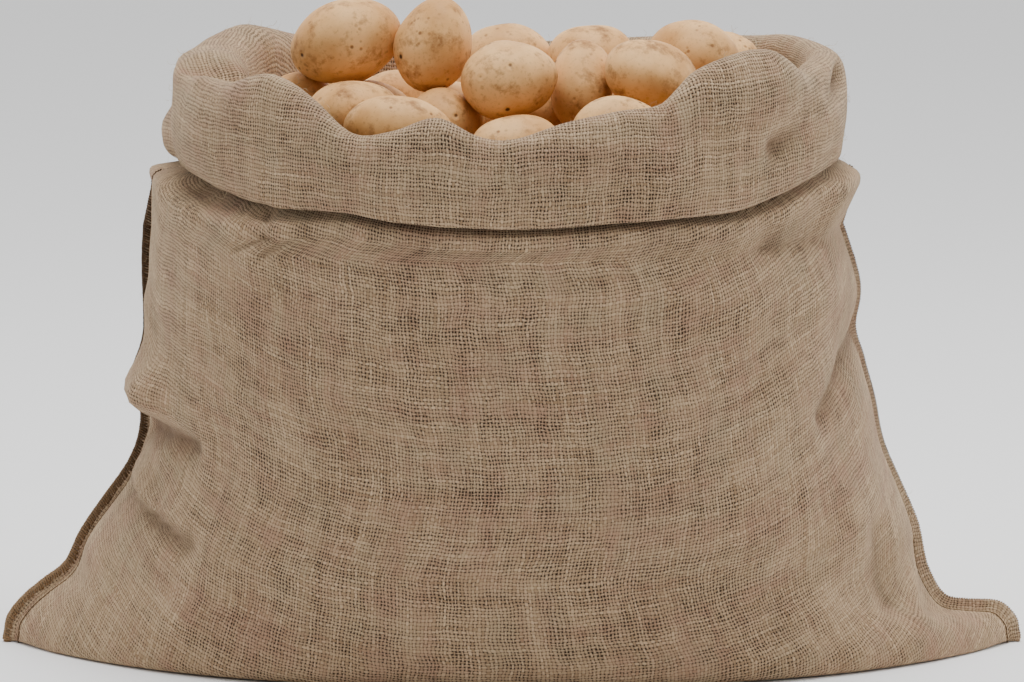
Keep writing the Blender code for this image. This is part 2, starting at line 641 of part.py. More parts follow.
def settle(heap, body):
    """Let a potato down, then let it slide a little way into the hollow beside it."""
    home = body.location.copy()
    start = home + Vector((0, 0, DROP))
    while heap.touches(body, start):
        start.z += FIRST_FALL
    place = lowered(heap, body, start)
    stride = FIRST_FALL
    for _ in range(SLIDES):
        best = place
        for k in range(SLIDE_WAYS):
            angle = k * 2 * math.pi / SLIDE_WAYS
            beside = place + Vector((math.cos(angle), math.sin(angle), 0)) * stride
            far = (beside.xy - home.xy).length > SLIDE
            if far or heap.touches(body, beside):
                continue
            trial = lowered(heap, body, beside)
            if trial.z < best.z - LEAST_DROP:
                best = trial
        if best is place:
            break
        place = best
    body.location = place
    heap.add(body)


def main():
    for body in list(bpy.data.objects):
        bpy.data.objects.remove(body, do_unlink=True)
    collection = bpy.data.collections.new("hessian_sack")
    bpy.context.scene.collection.children.link(collection)
    sack = make_sack(collection)
    filling = make_filling(collection)
    heap = Heap([sack, filling])
    for number, row in enumerate(named_rows(POTATO_COLUMNS, POTATOES), start=1):
        settle(heap, make_potato(f"potato_{number:02d}", row, collection))


main()
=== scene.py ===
import json
import math

import bmesh
import bpy
import numpy as np
from mathutils import Euler, Matrix, Vector

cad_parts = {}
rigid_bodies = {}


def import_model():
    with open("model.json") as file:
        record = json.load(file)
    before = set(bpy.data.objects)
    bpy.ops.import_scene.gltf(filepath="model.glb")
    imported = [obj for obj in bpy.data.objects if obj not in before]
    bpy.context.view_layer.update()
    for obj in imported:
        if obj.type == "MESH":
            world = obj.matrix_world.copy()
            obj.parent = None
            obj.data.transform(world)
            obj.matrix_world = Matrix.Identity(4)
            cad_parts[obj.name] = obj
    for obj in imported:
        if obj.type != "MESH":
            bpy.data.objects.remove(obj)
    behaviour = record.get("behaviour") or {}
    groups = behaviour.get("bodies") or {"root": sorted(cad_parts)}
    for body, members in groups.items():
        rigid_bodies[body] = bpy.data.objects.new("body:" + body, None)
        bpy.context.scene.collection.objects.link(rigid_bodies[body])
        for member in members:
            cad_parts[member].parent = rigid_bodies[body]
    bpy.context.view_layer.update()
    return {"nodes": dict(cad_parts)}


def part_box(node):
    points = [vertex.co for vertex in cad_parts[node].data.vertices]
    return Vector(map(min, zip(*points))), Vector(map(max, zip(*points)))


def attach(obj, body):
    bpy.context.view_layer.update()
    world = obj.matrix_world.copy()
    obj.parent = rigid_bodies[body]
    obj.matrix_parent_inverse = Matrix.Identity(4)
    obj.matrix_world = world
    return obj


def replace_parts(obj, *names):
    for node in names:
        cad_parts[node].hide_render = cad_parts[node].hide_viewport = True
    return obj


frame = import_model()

MM = 0.001

# Driving dimensions, metres, as in the part
CLOTH = 0.0018           # the hessian, a little thinner than its solid
SEAM_THICKNESS = 0.0034
SEAM_GAP = 0.0004
FLOOR_EPSILON = 1e-6
TOP_OF_FILLING = 0.309
LUMP_HEIGHT = 0.017
LUMP_PITCH = 0.060
LUMP_ROW_PITCH = 0.052
MOUTH_MIDDLE = 0.006
EAR_SHARE = 0.93         # the inner face reaches this far into the empty ears
EAR_ROWS = (5, 9)        # and over these rows of the body it widens to the whole row
CUFF_LEFT = -0.2095
CUFF_RIGHT = 0.2085
CUFF_DEPTH = 0.1490
CUFF_PLAN = {"square": 2.3, "blunt": 0.48}
SEAM_TURN = 1.7          # how a row of the body turns up to its seam
WAVE_HEIGHT = 0.0014
RIPPLE_HEIGHT = 0.0006
CLEAR_OF_FLOOR = 0.030   # folds are full from this height up
FLAT_SHARE = 0.1         # and gone this share of it above the floor
FOLD_LOSS = 0.6          # the share of a fold that is lost at a seam
FOLD_LOSS_POWER = 12
SOLID_SEGMENTS = 12      # of the ball that each solid potato is drawn out from
SOLID_RINGS = 7

# The cloth flat, and its weave: 12.7 warp threads and 11 weft threads to the inch
FLAT_WIDTH = 0.660
FLAT_SEAM = 0.008        # cloth between the front and the back, round a seam's edge
WARP_PITCH = 0.0020
WEFT_PITCH = 0.0023

# Fineness of the cloth's grid
COLUMNS = 150
BODY_STEPS = 5
CUFF_STEPS = 4
SHOULDER_STEPS = 6       # the overlocking goes on this far over the shoulder
EAR_TOP_ROW = 8          # the row of the body at the top of the ears
HEM_CREASE_ROW = 13      # the row of the cuff at its lower edge
CUFF_INSIDE_ROWS = (2, 7)  # the rows over which the cuff goes up inside
STITCHES_FROM = 2        # the first row of the grid with seam stitches
EVENING_REACH = 8        # columns on each side that a column's flat lengths are evened with
EVENING_SPREAD = 4.0
DOUBLES = 2e-6           # points this close are one
SOLID_DOUBLES = 1e-5     # the same in a solid's mesh
NO_LENGTH = 1e-7         # shorter than this is nothing
NO_AREA = 1e-12
PLAN_END = 1e-4          # keeps a plan's slope finite at its ends

# The small waves of slack cloth
SLACK_WAVES = 22
SLACK_LENGTHS = (0.015, 0.05)
SLACK_HEIGHT = 0.0016    # as a share of a wave's length
FULL_TURN = 6.3          # the phases of waves are drawn from this range

# Creases this deep and narrow get painted shade in the cloth's colour, darkest at the full depth
SHADED_CREASE_OUT = -2.5   # mm
SHADED_CREASE_SPREAD = 13  # mm
FULL_CREASE_SHADE = 0.011

# Single threads and fibres, millimetres
OVERLOCK_RADIUS = 0.55
OVERLOCK_SLANTS = (1.3, 1.7, 1.0)
STITCH_PATH = ((-1.7, 0, -0.5), (-0.9, 0, 0.25), (0.9, 0, 0.25), (1.7, 0, -0.5))
STITCH_RADII = (0.35, 0.5, 0.5, 0.35)
THREAD_SIDES = 5
FIBRE_STEP = 1.3
FIBRE_RADII = (0.08, 0.07, 0.06, 0.06, 0.05, 0.03)
FIBRE_SIDES = 3

# Their places, metres
OVERLOCK_PITCH = 0.0016
OVERLOCK_SIZES = (0.9, 1.08)   # times the drawn size
STITCH_PITCH = 0.0034
STITCH_PROUD = 0.0002
FIBRE_SHAPES = 5
FIBRE_COUNT = 6500
FIBRE_SIZES = (-0.25, 0.4)     # the middle and spread of the logarithm of their sizes
FIBRE_START = 0.5              # how far a fibre leans as it leaves the cloth
FIBRE_SPREAD = 0.55            # how much it kinks, and leans from square to the cloth
FIBRE_ROOT = 0.0003            # how far its root is sunk in the cloth
FIBRES_FROM = 0.004            # height of the lowest fibres
FIBRES_ON_CUFF = (0.29, 4.0)   # from this height there are so many times as many
FIBRES_ON_RIM = (0.35, 2.5)

# What each random draw starts from; each potato starts from its own number
SEEDS = {"slack": 5, "overlock": 11, "fibres": 3, "hidden": 21}

# Potatoes, finer than their solids
POTATO_CUTS = 15
HIDDEN_CUTS = 9
KNOB_WAVES = 7
KNOB_LENGTHS = (0.022, 0.05)
KNOB_HEIGHT = 0.007      # as a share of a wave's length
MOUTH_WIDTH = 0.150      # half the width and depth of the mouth that hidden potatoes fill
MOUTH_DEPTH = 0.105
MOUTH_SQUARE = 2.3
HIDDEN_PROUD = 0.002     # the hidden potatoes stand this much above their solid's lumps
HIDDEN_RANGES = (("length", 54, 62), ("width", 44, 49), ("height", 42, 46),
                 ("turn", 0, 180), ("tilt", -12, 12))   # mm and degrees
FILLING_INSET = 0.004    # the filling stays this much further in than its solid,
FILLING_WALL_TOP = 0.26  # up to this height, clear of the finer creases

# Undyed jute: straw yarns, some redder and some greener, with brown painted shade where yarns dip
# under others and in creases, and darker painted shade in the weave's holes
HESSIAN_PALE_YARN = "#CBB08E"
HESSIAN_DARK_YARN = "#957A5C"
HESSIAN_RUDDY = "#9E7864"
HESSIAN_OLIVE = "#9F9174"
HESSIAN_PAINTED_SHADE = "#60493A"
HESSIAN_HOLE_SHADE = "#2A1E15"
HESSIAN_SHEEN = "#E8DAC4"
OVERLOCK_BROWN = "#54402F"
POTATO_SPECK = "#7A5230"
POTATO_EYE = "#4A2E1A"

# Sizes of the patterns, metres from one feature to the next
WANDER_LENGTH = 0.01818  # yarns wander sideways over this length,
WANDER = 0.0042          # within this
TREMBLE_LENGTH = 0.003846
TREMBLE = 0.0013
SLUB_LENGTH = 0.01176    # thick and thin places along a yarn
YARN_TONE_LENGTH = 0.05882
BAND_LENGTH = 0.1111     # bands of like yarns are this long
BAND_WIDTH = 0.0125      # and about six yarns wide
PATCH_SIZE = 0.03846
THREAD_TONE_LENGTH = 0.002381
POTATO_TONE_SIZE = 0.03571
SMUDGE_SIZE = 0.01333
NETTING_SIZE = 0.001923
EYE_PITCH = 0.01613
SPECK_PITCH = 0.004762
SPECK_CLUSTER_SIZE = 0.01923

# The camera and the room
CAMERA_DISTANCE = 3.6
CAMERA_HEIGHT_DEGREES = 9.5
CAMERA_AIM = Vector((0, 0, 0.195))
SENSOR = 36.0
PICTURE_WIDTH = 1024
PIXEL = 0.000635         # metres to a pixel at the aim
FLOOR_RADIUS = 30.0
FLOOR_DROP = 0.0002

# The body, from the bottom fold up. front: height at the middle of the row. depth_f and
# depth_b: how far the row stands out to the front and back. The seam's edge is given at
# each side. level: share of the row that stays level before it turns to the seam. square
# and blunt shape the row's plan; crowd draws its points towards the seams.
BODY_COLUMNS = ("front", "depth_f", "depth_b", "left_x", "left_z", "right_x", "right_z",
                "left_w", "right_w", "level", "square", "blunt", "crowd")
BODY = (
    (1.1, 0, 0, -325, 1.1, 325, 1.1, 7.0, 6.0, 0.95, 2.6, 0.86, 0.45),
    (1.1, 72, 68, -325, 3.0, 325, 3.0, 7.0, 6.0, 0.94, 2.6, 0.86, 0.45),
    (1.1, 127, 120, -324, 7.0, 324, 7.0, 7.0, 6.0, 0.92, 2.6, 0.86, 0.45),
    (5, 136, 129, -321.5, 17, 321.5, 16, 7.0, 6.0, 0.88, 2.6, 0.84, 0.50),
    (14, 141, 135, -312, 29, 311, 25.2, 7.0, 6.0, 0.80, 2.6, 0.80, 0.55),
    (30, 145, 140, -299, 40, 292, 26.5, 7.0, 6.0, 0.70, 2.5, 0.74, 0.60),
    (50, 149, 145, -284, 52, 276, 30, 7.0, 6.0, 0.55, 2.45, 0.68, 0.66),
    (72, 152, 149, -274, 71, 265, 48, 6.5, 6.0, 0.45, 2.4, 0.62, 0.72),
    (98, 154, 152, -257, 97, 259, 77, 6.0, 4.5, 0.35, 2.4, 0.56, 0.80),
    (126, 155, 154, -240, 122, 246, 105, 6.0, 3.0, 0.30, 2.35, 0.52, 0.88),
    (154, 155, 155, -234, 149, 235.5, 131, 6.0, 2.6, 0.30, 2.3, 0.49, 0.94),
    (180, 154, 155, -235, 175, 230, 158, 5.5, 2.6, 0.30, 2.3, 0.47, 1.0),
    (204, 153, 154, -233, 199, 223, 184, 5.0, 2.6, 0.30, 2.3, 0.46, 1.0),
    (226, 152, 153, -233, 223, 218, 207, 5.0, 2.6, 0.30, 2.3, 0.46, 1.0),
    (248, 150.5, 152, -233, 247, 219.5, 232, 5.0, 2.6, 0.30, 2.3, 0.46, 1.0),
    (268, 148.5, 150, -232, 270, 208.5, 271, 5.0, 2.6, 0.30, 2.3, 0.47, 1.0),
)

# The cuff, followed from the body's shoulder in under it, up inside, over the rim and down
# its outer face to the hidden hem. share: how far in from the outer face, as a share of the
# cuff's thickness. shoulder: share of the shoulder's reach. rise: share of the way from the
# cuff's lower edge to its rim. above: added to that.
CUFF_COLUMNS = ("share", "shoulder", "rise", "above")
CUFF = (
    (0.05, 1.0, 0.00, -14.0),
    (0.10, 0.95, 0.00, -6.5),
    (0.42, 0.75, 0.00, -2.5),
    (0.80, 0.0, 0.00, 5.0),
    (1.00, 0.0, 0.28, 0.0),
    (1.00, 0.0, 0.62, 0.0),
    (0.93, 0.0, 0.88, 0.0),
    (0.72, 0.0, 0.985, 0.0),
    (0.42, 0.0, 1.00, 0.0),
    (0.12, 0.0, 0.93, 0.0),
    (-0.04, 0.0, 0.76, 0.0),
    (-0.09, 0.0, 0.50, 0.0),
    (-0.06, 0.0, 0.24, 0.0),
    (0.00, 0.0, 0.06, 0.0),
    (0.12, 0.0, -0.01, 0.0),
    (0.26, 0.0, 0.03, 0.0),
    (0.31, 0.0, 0.18, 0.0),
)

# The cuff across the sack, from the left seam (-1) to the right (1): heights of its rim and
# of its lower edge, its thickness, how far the body's shoulder stands out below it, and the
# gap by which that shoulder is sunk below the cuff's edge.
RIM_COLUMNS = ("across", "rim_f", "rim_b", "low_f", "low_b", "thick_f", "thick_b", "shoulder",
               "gap")
RIM = (
    (-1.00, 380, 380, 311, 311, 44, 44, 19, 2),
    (-0.94, 369, 385, 307, 308, 43, 44, 17, 8),
    (-0.88, 366, 387, 304, 305, 40, 44, 14, 10),
    (-0.72, 373, 379, 299, 303, 26, 36, 6, 8),
    (-0.60, 362, 373, 298, 301, 21, 24, 2, 4),
    (-0.48, 343, 372, 297, 300, 20, 21, 1, 2),
    (-0.36, 345, 372, 293.5, 299, 19, 20, 0, 1),
    (-0.22, 354, 370, 291, 299, 19, 20, 0, 1),
    (-0.10, 343, 369, 290, 299, 18, 20, 0, 1),
    (0.00, 341, 369, 289.5, 299, 18, 20, 0, 1),
    (0.16, 351, 370, 290.5, 299, 19, 20, 0, 1),
    (0.32, 357.5, 372, 292.5, 300, 20, 20, 0, 1),
    (0.46, 361, 374, 294, 301, 21, 20, 0, 1),
    (0.56, 380, 376, 295, 302, 23, 21, 1, 2),
    (0.68, 388, 377, 297, 304, 24, 22, 1, 4),
    (0.80, 388, 379, 304, 308, 24, 23, 2, 5),
    (0.90, 374, 382, 311, 311, 24, 24, 5, 4),
    (1.00, 380, 380, 315, 315, 24, 24, 9, 3),
)

# Creases and swells of the cloth, each along a short line: its two ends, how far it
# spreads, and how far it moves the cloth out (or in, if negative).
FOLD_COLUMNS = ("x0", "y0", "z0", "x1", "y1", "z1", "spread", "out")
FOLDS = (
    (-233, -10, 172, -222, -46, 168, 17, 21),     # swell of the left side
    (-215, -62, 163, -200, -86, 154, 13, 5),
    (-228, -24, 222, -228, -24, 196, 14, 7),      # the cloth stands out before the seam
    (-229, -26, 146, -221, -42, 147, 11, -10),    # trough under that swell
    (-216, -56, 148, -200, -82, 144, 11, -7),
    (-230, -18, 134, -214, -64, 136, 11, 4),      # small swell below the trough
    (-238, -12, 119, -232, -48, 108, 12, 4),      # edge of the fold over the left ear
    (-226, -63, 103, -208, -92, 91, 12, 3),
    (-242, -26, 106, -232, -58, 97, 11, -4),      # crease under that edge
    (-224, -72, 92, -205, -96, 83, 11, -7),
    (-270, -10, 84, -250, -45, 40, 16, 5),        # swell on the left ear
    (-206, -55, 300, -196, -60, 296, 11, -6),     # hole under the cuff, left end
    (-210, -4, 316, -210, -2, 350, 6, -5),        # upright crease on the cuff's left end
    (-206, -20, 374, -206, 15, 374, 12, 6),       # the cuff's full left end, up at its rim
    (-214, 20, 308, -212, 30, 327, 15, 16),       # pouch behind that crease
    (210, -24, 291, 192, -64, 282, 11, -8),       # crease under the right pouch
    (182, -78, 279, 158, -103, 275, 11, -7),
    (220, -16, 302, 206, -56, 296, 13, 8),        # right pouch under the cuff
    (208, -26, 368, 160, -100, 334, 9, -9),       # slanting trough on the cuff, right
    (180, -90, 376, 150, -112, 366, 13, 4),       # swell over that trough
    (212, -60, 322, 212, 50, 322, 16, -4),        # and under its right end
    (215, -10, 202, 210, -48, 191, 11, -6),       # crease round the facet on the right
    (206, -62, 183, 196, -88, 162, 11, -5),
    (222, -40, 226, 206, -85, 150, 20, -4),       # flat facet on the right side
    (231, -66, 82, 236, -64, 42, 13, -6),         # valley down to the right ear
    (255, -30, 50, 256, -60, 22, 12, 4),          # ridge along the right ear
    (-60, -140, 20, 40, -140, 24, 26, 3),         # low swell along the foot
    (-214, 30, 240, -180, 90, 150, 22, -5),       # back, slack on the left
    (205, 50, 250, 150, 118, 180, 20, -5),        # back, slack on the right
    (-250, 30, 96, -190, 96, 70, 14, -6),         # back, crease to the left ear
    (238, 48, 90, 200, 92, 62, 14, -5),           # back, crease to the right ear
    (-40, 150, 210, 60, 152, 200, 34, 4),         # back, swell over the potatoes
)

# Dents and ridges on top of the roll, which move the cloth up or down.
DENTS = (
    (-190, -28, 376, -170, -36, 374, 12, -14),    # dip in the broad left end
    (-200, 42, 384, -176, 62, 388, 16, 2),        # the left end's back peak
    (-196, -58, 370, -152, -104, 372, 9, 6),      # its front lip
    (150, -105, 386, 176, -80, 390, 16, 2),       # front peak on the right
)

# The potatoes of the mouth: middle, length, width, height, then turn, tilt and roll in
# degrees. The part lets them down one by one, in this order, until each rests on the others.
POTATO_COLUMNS = ("x", "y", "z", "length", "width", "height", "turn", "tilt", "roll")
POTATOES = (
    (-71, -101, 340, 68, 46, 42, -6, 4, 0),
    (-1, -103, 331, 56, 46, 32, 12, 0, 20),
    (66, -99, 342, 60, 46, 44, 4, 0, 30),
    (118, -70, 342, 50, 43, 43, 55, 0, 0),
    (-98, -57, 342, 62, 46, 43, 20, -6, 0),
    (-41, -56, 342, 50, 44, 43, 60, 8, 0),
    (42, -32, 322, 38, 32, 22, 10, 0, 0),
    (-138, -5, 344, 58, 44, 45, 30, -42, 0),
    (-90, -8, 343, 54, 46, 50, -10, 5, 0),
    (-35, -8, 342, 50, 44, 46, 50, 0, 40),
    (10, 0, 340, 50, 44, 50, -65, 0, 0),
    (80, -9, 342, 54, 46, 48, 20, 0, 0),
    (136, -28, 342, 50, 42, 44, 70, 0, 0),
    (-127, 52, 340, 50, 42, 42, 70, 0, 0),
    (-78, 40, 343, 54, 46, 46, 25, 0, 0),
    (-28, 42, 335, 48, 42, 40, -35, 0, 0),
    (22, 46, 334, 46, 40, 38, 10, 0, 0),
    (90, 42, 338, 50, 42, 45, -50, 0, 0),
    (151, 18, 340, 44, 38, 38, 80, 0, 0),
    (-87, 90, 340, 56, 46, 44, 20, 0, 0),
    (-29, 94, 342, 56, 46, 46, -5, 0, 0),
    (29, 96, 342, 56, 46, 46, 0, 0, 0),
    (82, 95, 342, 50, 40, 42, -20, 0, 0),
    (134, 62, 336, 40, 34, 34, 20, 0, 0),
    (134, 58, 362, 50, 42, 42, 20, -8, 0),
    (-108, -16, 387, 70, 54, 52, 6, -20, 10),
    (-51, -36, 385, 61, 47, 48, 20, -72, 0),
    (-6, -57, 371, 60, 49, 50, 10, -8, 0),
    (42, -28, 364, 58, 40, 42, 80, -72, 0),
    (83, -50, 371, 62, 48, 48, 20, 22, 0),
    (-4, 55, 366, 60, 48, 46, -8, -4, 0),
    (54, 40, 368, 56, 46, 44, 12, 6, 0),
    (111, 15, 378, 60, 49, 46, -20, 14, 0),
)

# Smaller creases and puckers, which the solid leaves out.
CREASES = (
    (-229, -24, 146, -222, -43, 147, 6, -3.5),
    (-218, -52, 147, -198, -86, 142, 6, -3.5),
    (-237, -12, 119, -232, -52, 107, 6, 3.0),
    (-229, -60, 103, -208, -92, 90, 6, 3.0),
    (-242, -26, 106, -231, -62, 96, 5, -3.5),
    (-228, -69, 93, -212, -90, 86, 5, -2.5),
    (-150, -103, 296, -151, -117, 268, 5, -5.0),
    (-140, -112, 294, -141, -122, 268, 6, 2.5),
    (210, -24, 291, 190, -68, 281, 6, -3.0),
    (185, -75, 280, 158, -103, 275, 6, -3.0),
    (215, -10, 202, 210, -52, 190, 6, -2.5),
    (208, -58, 185, 196, -88, 162, 6, -2.5),
    (255, -24, 54, 255, -56, 24, 6, 2.0),
    (206, -28, 366, 162, -100, 334, 6, -2.5),
    (-150, -138, 262, -120, -146, 236, 9, -1.6),
    (-178, -104, 284, -150, -124, 252, 9, 2.2),
    (-225, -62, 262, -206, -86, 236, 10, -2.0),
    (-232, -38, 236, -214, -72, 214, 10, 1.8),
    (-186, -98, 214, -150, -128, 190, 14, -1.8),
    (-218, -70, 150, -180, -112, 118, 12, 2.4),
    (-226, -54, 110, -190, -100, 70, 10, -2.2),
    (-150, -134, 120, -110, -146, 60, 18, -1.6),
    (60, -152, 250, 150, -136, 262, 12, -1.4),
    (170, -114, 236, 200, -88, 200, 12, -2.0),
    (196, -96, 216, 216, -66, 190, 10, 2.0),
    (180, -116, 150, 214, -92, 96, 14, -2.2),
    (204, -98, 120, 240, -66, 60, 11, 2.4),
    (140, -140, 90, 200, -118, 40, 16, 1.8),
    (20, -156, 150, 80, -154, 60, 30, -1.2),
    (-40, -158, 230, -10, -158, 150, 30, 1.2),
    (-120, -148, 345, -60, -150, 322, 12, -1.6),
    (-190, -86, 352, -160, -112, 322, 11, -1.8),
    (40, -150, 340, 100, -142, 328, 12, 1.4),
    (100, -138, 364, 140, -122, 340, 10, -1.8),
    (190, -66, 352, 206, -40, 330, 8, 1.6),
)


# ---- small tools ----------------------------------------------------------------------------


def add_node(tree, kind, inputs=None, **settings):
    """Adds a node with its settings, sets or links its inputs, and gives its outputs."""
    node = tree.nodes.new(kind)
    for name, value in settings.items():
        setattr(node, name, value)
    for key, value in (inputs or {}).items():
        if isinstance(value, bpy.types.NodeSocket):
            tree.links.new(value, node.inputs[key])
        else:
            node.inputs[key].default_value = value
    return node.outputs


def linear(colour):
    """A colour written as sRGB hex, as the linear values that Blender uses."""
    parts = [int(colour[i:i + 2], 16) / 255 for i in (1, 3, 5)]
    return (*[c / 12.92 if c <= 0.04045 else ((c + 0.055) / 1.055) ** 2.4 for c in parts], 1.0)


def put_in_scene(name, data):
    """A mesh, light or camera as an object in the scene."""
    thing = bpy.data.objects.new(name, data)
    bpy.context.scene.collection.objects.link(thing)
    return thing


def smooth_mesh(name, bm):
    """What was built in a bmesh as a smooth mesh."""
    mesh = bpy.data.meshes.new(name)
    bm.to_mesh(mesh)
    bm.free()
    mesh.shade_smooth()
    return mesh


def add_piece(name, mesh, material):
    """A mesh as a piece of the object that rides with it."""
    piece = put_in_scene(name, mesh)
    mesh.materials.clear()
    mesh.materials.append(material)
    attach(piece, "root")
    return piece


# ---- the cloth's shape ----------------------------------------------------------------------


def named_rows(columns, table):
    """The table's rows as dictionaries, one value to each column's name."""
    return [dict(zip(columns, row)) for row in table]


BODY_ROWS = named_rows(BODY_COLUMNS, BODY)
CUFF_ROWS = named_rows(CUFF_COLUMNS, CUFF)
RIM_ROWS = named_rows(RIM_COLUMNS, RIM)
FOLD_ROWS = named_rows(FOLD_COLUMNS, FOLDS + CREASES)
DENT_ROWS = named_rows(FOLD_COLUMNS, DENTS)
POTATO_ROWS = named_rows(POTATO_COLUMNS, POTATOES)
SIDES = {"front": -1, "back": 1}
BODY_COUNT = (len(BODY_ROWS) - 1) * BODY_STEPS + 1


def curve_through(rows, column, place):
    """One column of a table as a smooth curve, read at places counted in rows."""
    values = np.array([row[column] for row in rows], float)
    last = len(values) - 1
    index = np.clip(np.asarray(place, float).astype(int), 0, last - 1)
    share = place - index
    before = values[np.maximum(index - 1, 0)]
    start, end = values[index], values[index + 1]
    after = values[np.minimum(index + 2, last)]
    bend_in = (end - before) / 2
    bend_out = (after - start) / 2
    return (start * (2 * share**3 - 3 * share**2 + 1)
            + bend_in * (share**3 - 2 * share**2 + share)
            + end * (3 * share**2 - 2 * share**3) + bend_out * (share**3 - share**2))


def across_table(column, across):
    """One column of the rim table at shares across the sack."""
    marks = np.array([row["across"] for row in RIM_ROWS])
    index = np.clip(np.searchsorted(marks, across, side="right") - 1, 0, len(marks) - 2)
    share = np.clip((across - marks[index]) / (marks[index + 1] - marks[index]), 0, 1)
    return curve_through(RIM_ROWS, column, index + share)


def body_row(place):
    """The body table read at a place counted in rows, in millimetres."""
    return {name: float(curve_through(BODY_ROWS, name, place)) for name in BODY_COLUMNS}


def seam_root(place, end):
    """Where the cloth leaves the seam: the seam's edge moved in, square to its path."""
    row = body_row(place)
    low = body_row(max(place - 0.5, 0))
    high = body_row(min(place + 0.5, len(BODY_ROWS) - 1))
    path = Vector((high[end + "_x"] - low[end + "_x"], high[end + "_z"] - low[end + "_z"]))
    inward = Vector((path.y, -path.x)).normalized()
    if end == "right":
        inward = -inward
    root = Vector((row[end + "_x"], row[end + "_z"])) + inward * row[end + "_w"]
    return root.x, max(root.y, BODY_ROWS[0]["front"])


def spread_across(steps, crowd):
    """Evenly spaced steps from -1 to 1, drawn towards the two ends."""
    return steps * (1 - crowd) + np.sin(steps * math.pi / 2) * crowd


def plan_depth(across, depth, square, blunt):
    """How far the plan of a row stands out at shares across it."""
    return depth * np.maximum(1 - np.abs(across) ** square, 0) ** blunt


def plan_normals(across, half, depth, row, side):
    """The level directions out of a row's plan."""
    inner = np.maximum(1 - np.abs(across) ** row["square"], PLAN_END)
    slope = depth * row["blunt"] * inner ** (row["blunt"] - 1) * row["square"]
    slope = slope * np.abs(across) ** (row["square"] - 1) * np.sign(across)
    out = np.stack([slope, np.full_like(slope, SIDES[side] * half), 0 * slope], axis=1)
    return out / np.linalg.norm(out, axis=1)[:, None]


def body_line(place, steps, side):
    """One row of points of the body's cloth, and the ways out of it."""
    row = body_row(place)
    left_x, left_z = seam_root(place, "left")
    right_x, right_z = seam_root(place, "right")
    across = spread_across(steps, row["crowd"])
    seam_half = SEAM_THICKNESS / 2 / MM if row["depth_f"] > 0 else 0.0
    depth = row["depth_f"] if side == "front" else row["depth_b"]
    bulge = plan_depth(across, max(depth - seam_half, 0), row["square"], row["blunt"])
    half = (right_x - left_x) / 2
    x = (left_x + right_x) / 2 + across * half
    turn = np.maximum(np.abs(across) - row["level"], 0) / (1 - row["level"])
    end_z = np.where(across < 0, left_z, right_z)
    z = row["front"] + (end_z - row["front"]) * turn**SEAM_TURN
    points = np.stack([x, SIDES[side] * (seam_half + bulge), z], axis=1) * MM
    return points, plan_normals(across, half, depth, row, side)


def cuff_line(place, steps, side):
    """One row of points of the cuff's cloth, and the ways out of it."""
    cuff = {name: float(curve_through(CUFF_ROWS, name, place)) for name in CUFF_COLUMNS}
    mark = "_f" if side == "front" else "_b"
    across = spread_across(steps, 1.0)
    rim = across_table("rim" + mark, across)
    low = across_table("low" + mark, across)
    thick = across_table("thick" + mark, across)
    half = (CUFF_RIGHT - CUFF_LEFT) / 2 / MM
    seam_half = SEAM_THICKNESS / 2 / MM
    depth = CUFF_DEPTH / MM
    x = (CUFF_RIGHT + CUFF_LEFT) / 2 / MM + across * half
    stand_out = seam_half + plan_depth(across, depth - seam_half, **CUFF_PLAN)
    out = plan_normals(across, half, depth, CUFF_PLAN, side)
    out[0], out[-1] = (-1, 0, 0), (1, 0, 0)
    inward = cuff["share"] * thick - cuff["shoulder"] * across_table("shoulder", across)
    gap = across_table("gap", across)
    z = low + cuff["rise"] * (rim - low) + cuff["above"] - cuff["shoulder"] * gap
    points = np.stack([x, SIDES[side] * stand_out, z], axis=1) - out * inward[:, None]
    return points * MM, out


def fold_heights(points, rows):
    """How far all the folds together move the cloth at each point."""
    total = np.zeros(len(points))
    for row in rows:
        start = np.array([row["x0"], row["y0"], row["z0"]]) * MM
        along = np.array([row["x1"], row["y1"], row["z1"]]) * MM - start
        share = np.clip((points - start) @ along / (along @ along), 0, 1)
        away = np.linalg.norm(points - start - share[:, None] * along, axis=1)
        total += row["out"] * MM * np.exp(-(away / (row["spread"] * MM)) ** 2)
    return total


def unevenness(points):
    """The slight lumps of cloth drawn over potatoes."""
    x, y, z = points.T
    wave_a = np.sin(x * 61 + z * 23 + 1.0) * np.cos(z * 67 - x * 19)
    wave_b = np.sin(x * 113 - z * 71 + y * 40)
    return WAVE_HEIGHT * wave_a + RIPPLE_HEIGHT * wave_b


def slack(points):
    """Soft little waves in the cloth, 15 to 50 mm long, in many directions."""
    random = np.random.default_rng(SEEDS["slack"])
    return waves(points, random, SLACK_WAVES, SLACK_LENGTHS) * SLACK_HEIGHT


def waves(points, random, count, lengths):
    """Waves in many directions added up, each as high as it is long."""
    total = np.zeros(len(points))
    for _ in range(count):
        way = random.normal(size=3)
        way /= np.linalg.norm(way)
        length = random.uniform(*lengths)
        phase = random.uniform(0, FULL_TURN)
        total += np.sin(points @ way * (2 * math.pi / length) + phase) * length
    return total


def folded(points, outs, steps):
    """Points with creases, swells and unevenness added, less of them at a seam."""
    near_seam = 1 - FOLD_LOSS * np.abs(steps) ** FOLD_LOSS_POWER
    above_floor = np.clip(points[:, 2] / CLEAR_OF_FLOOR - FLAT_SHARE, 0, 1)
    level = fold_heights(points, FOLD_ROWS) + unevenness(points) + slack(points)
    moved = points + outs * (level * near_seam * above_floor)[:, None]
    moved[:, 2] += fold_heights(points, DENT_ROWS) * above_floor
    moved[:, 2] = np.maximum(moved[:, 2], CLOTH / 2)
    return moved


def crease_shade_depths(points):
    """How deep in a crease each point lies, from 0 to 1, which sets the painted shade in creases.
    """
    deep = [row for row in FOLD_ROWS
            if row["out"] <= SHADED_CREASE_OUT and row["spread"] <= SHADED_CREASE_SPREAD]
    return np.clip(-fold_heights(points, deep) / FULL_CREASE_SHADE, 0, 1)


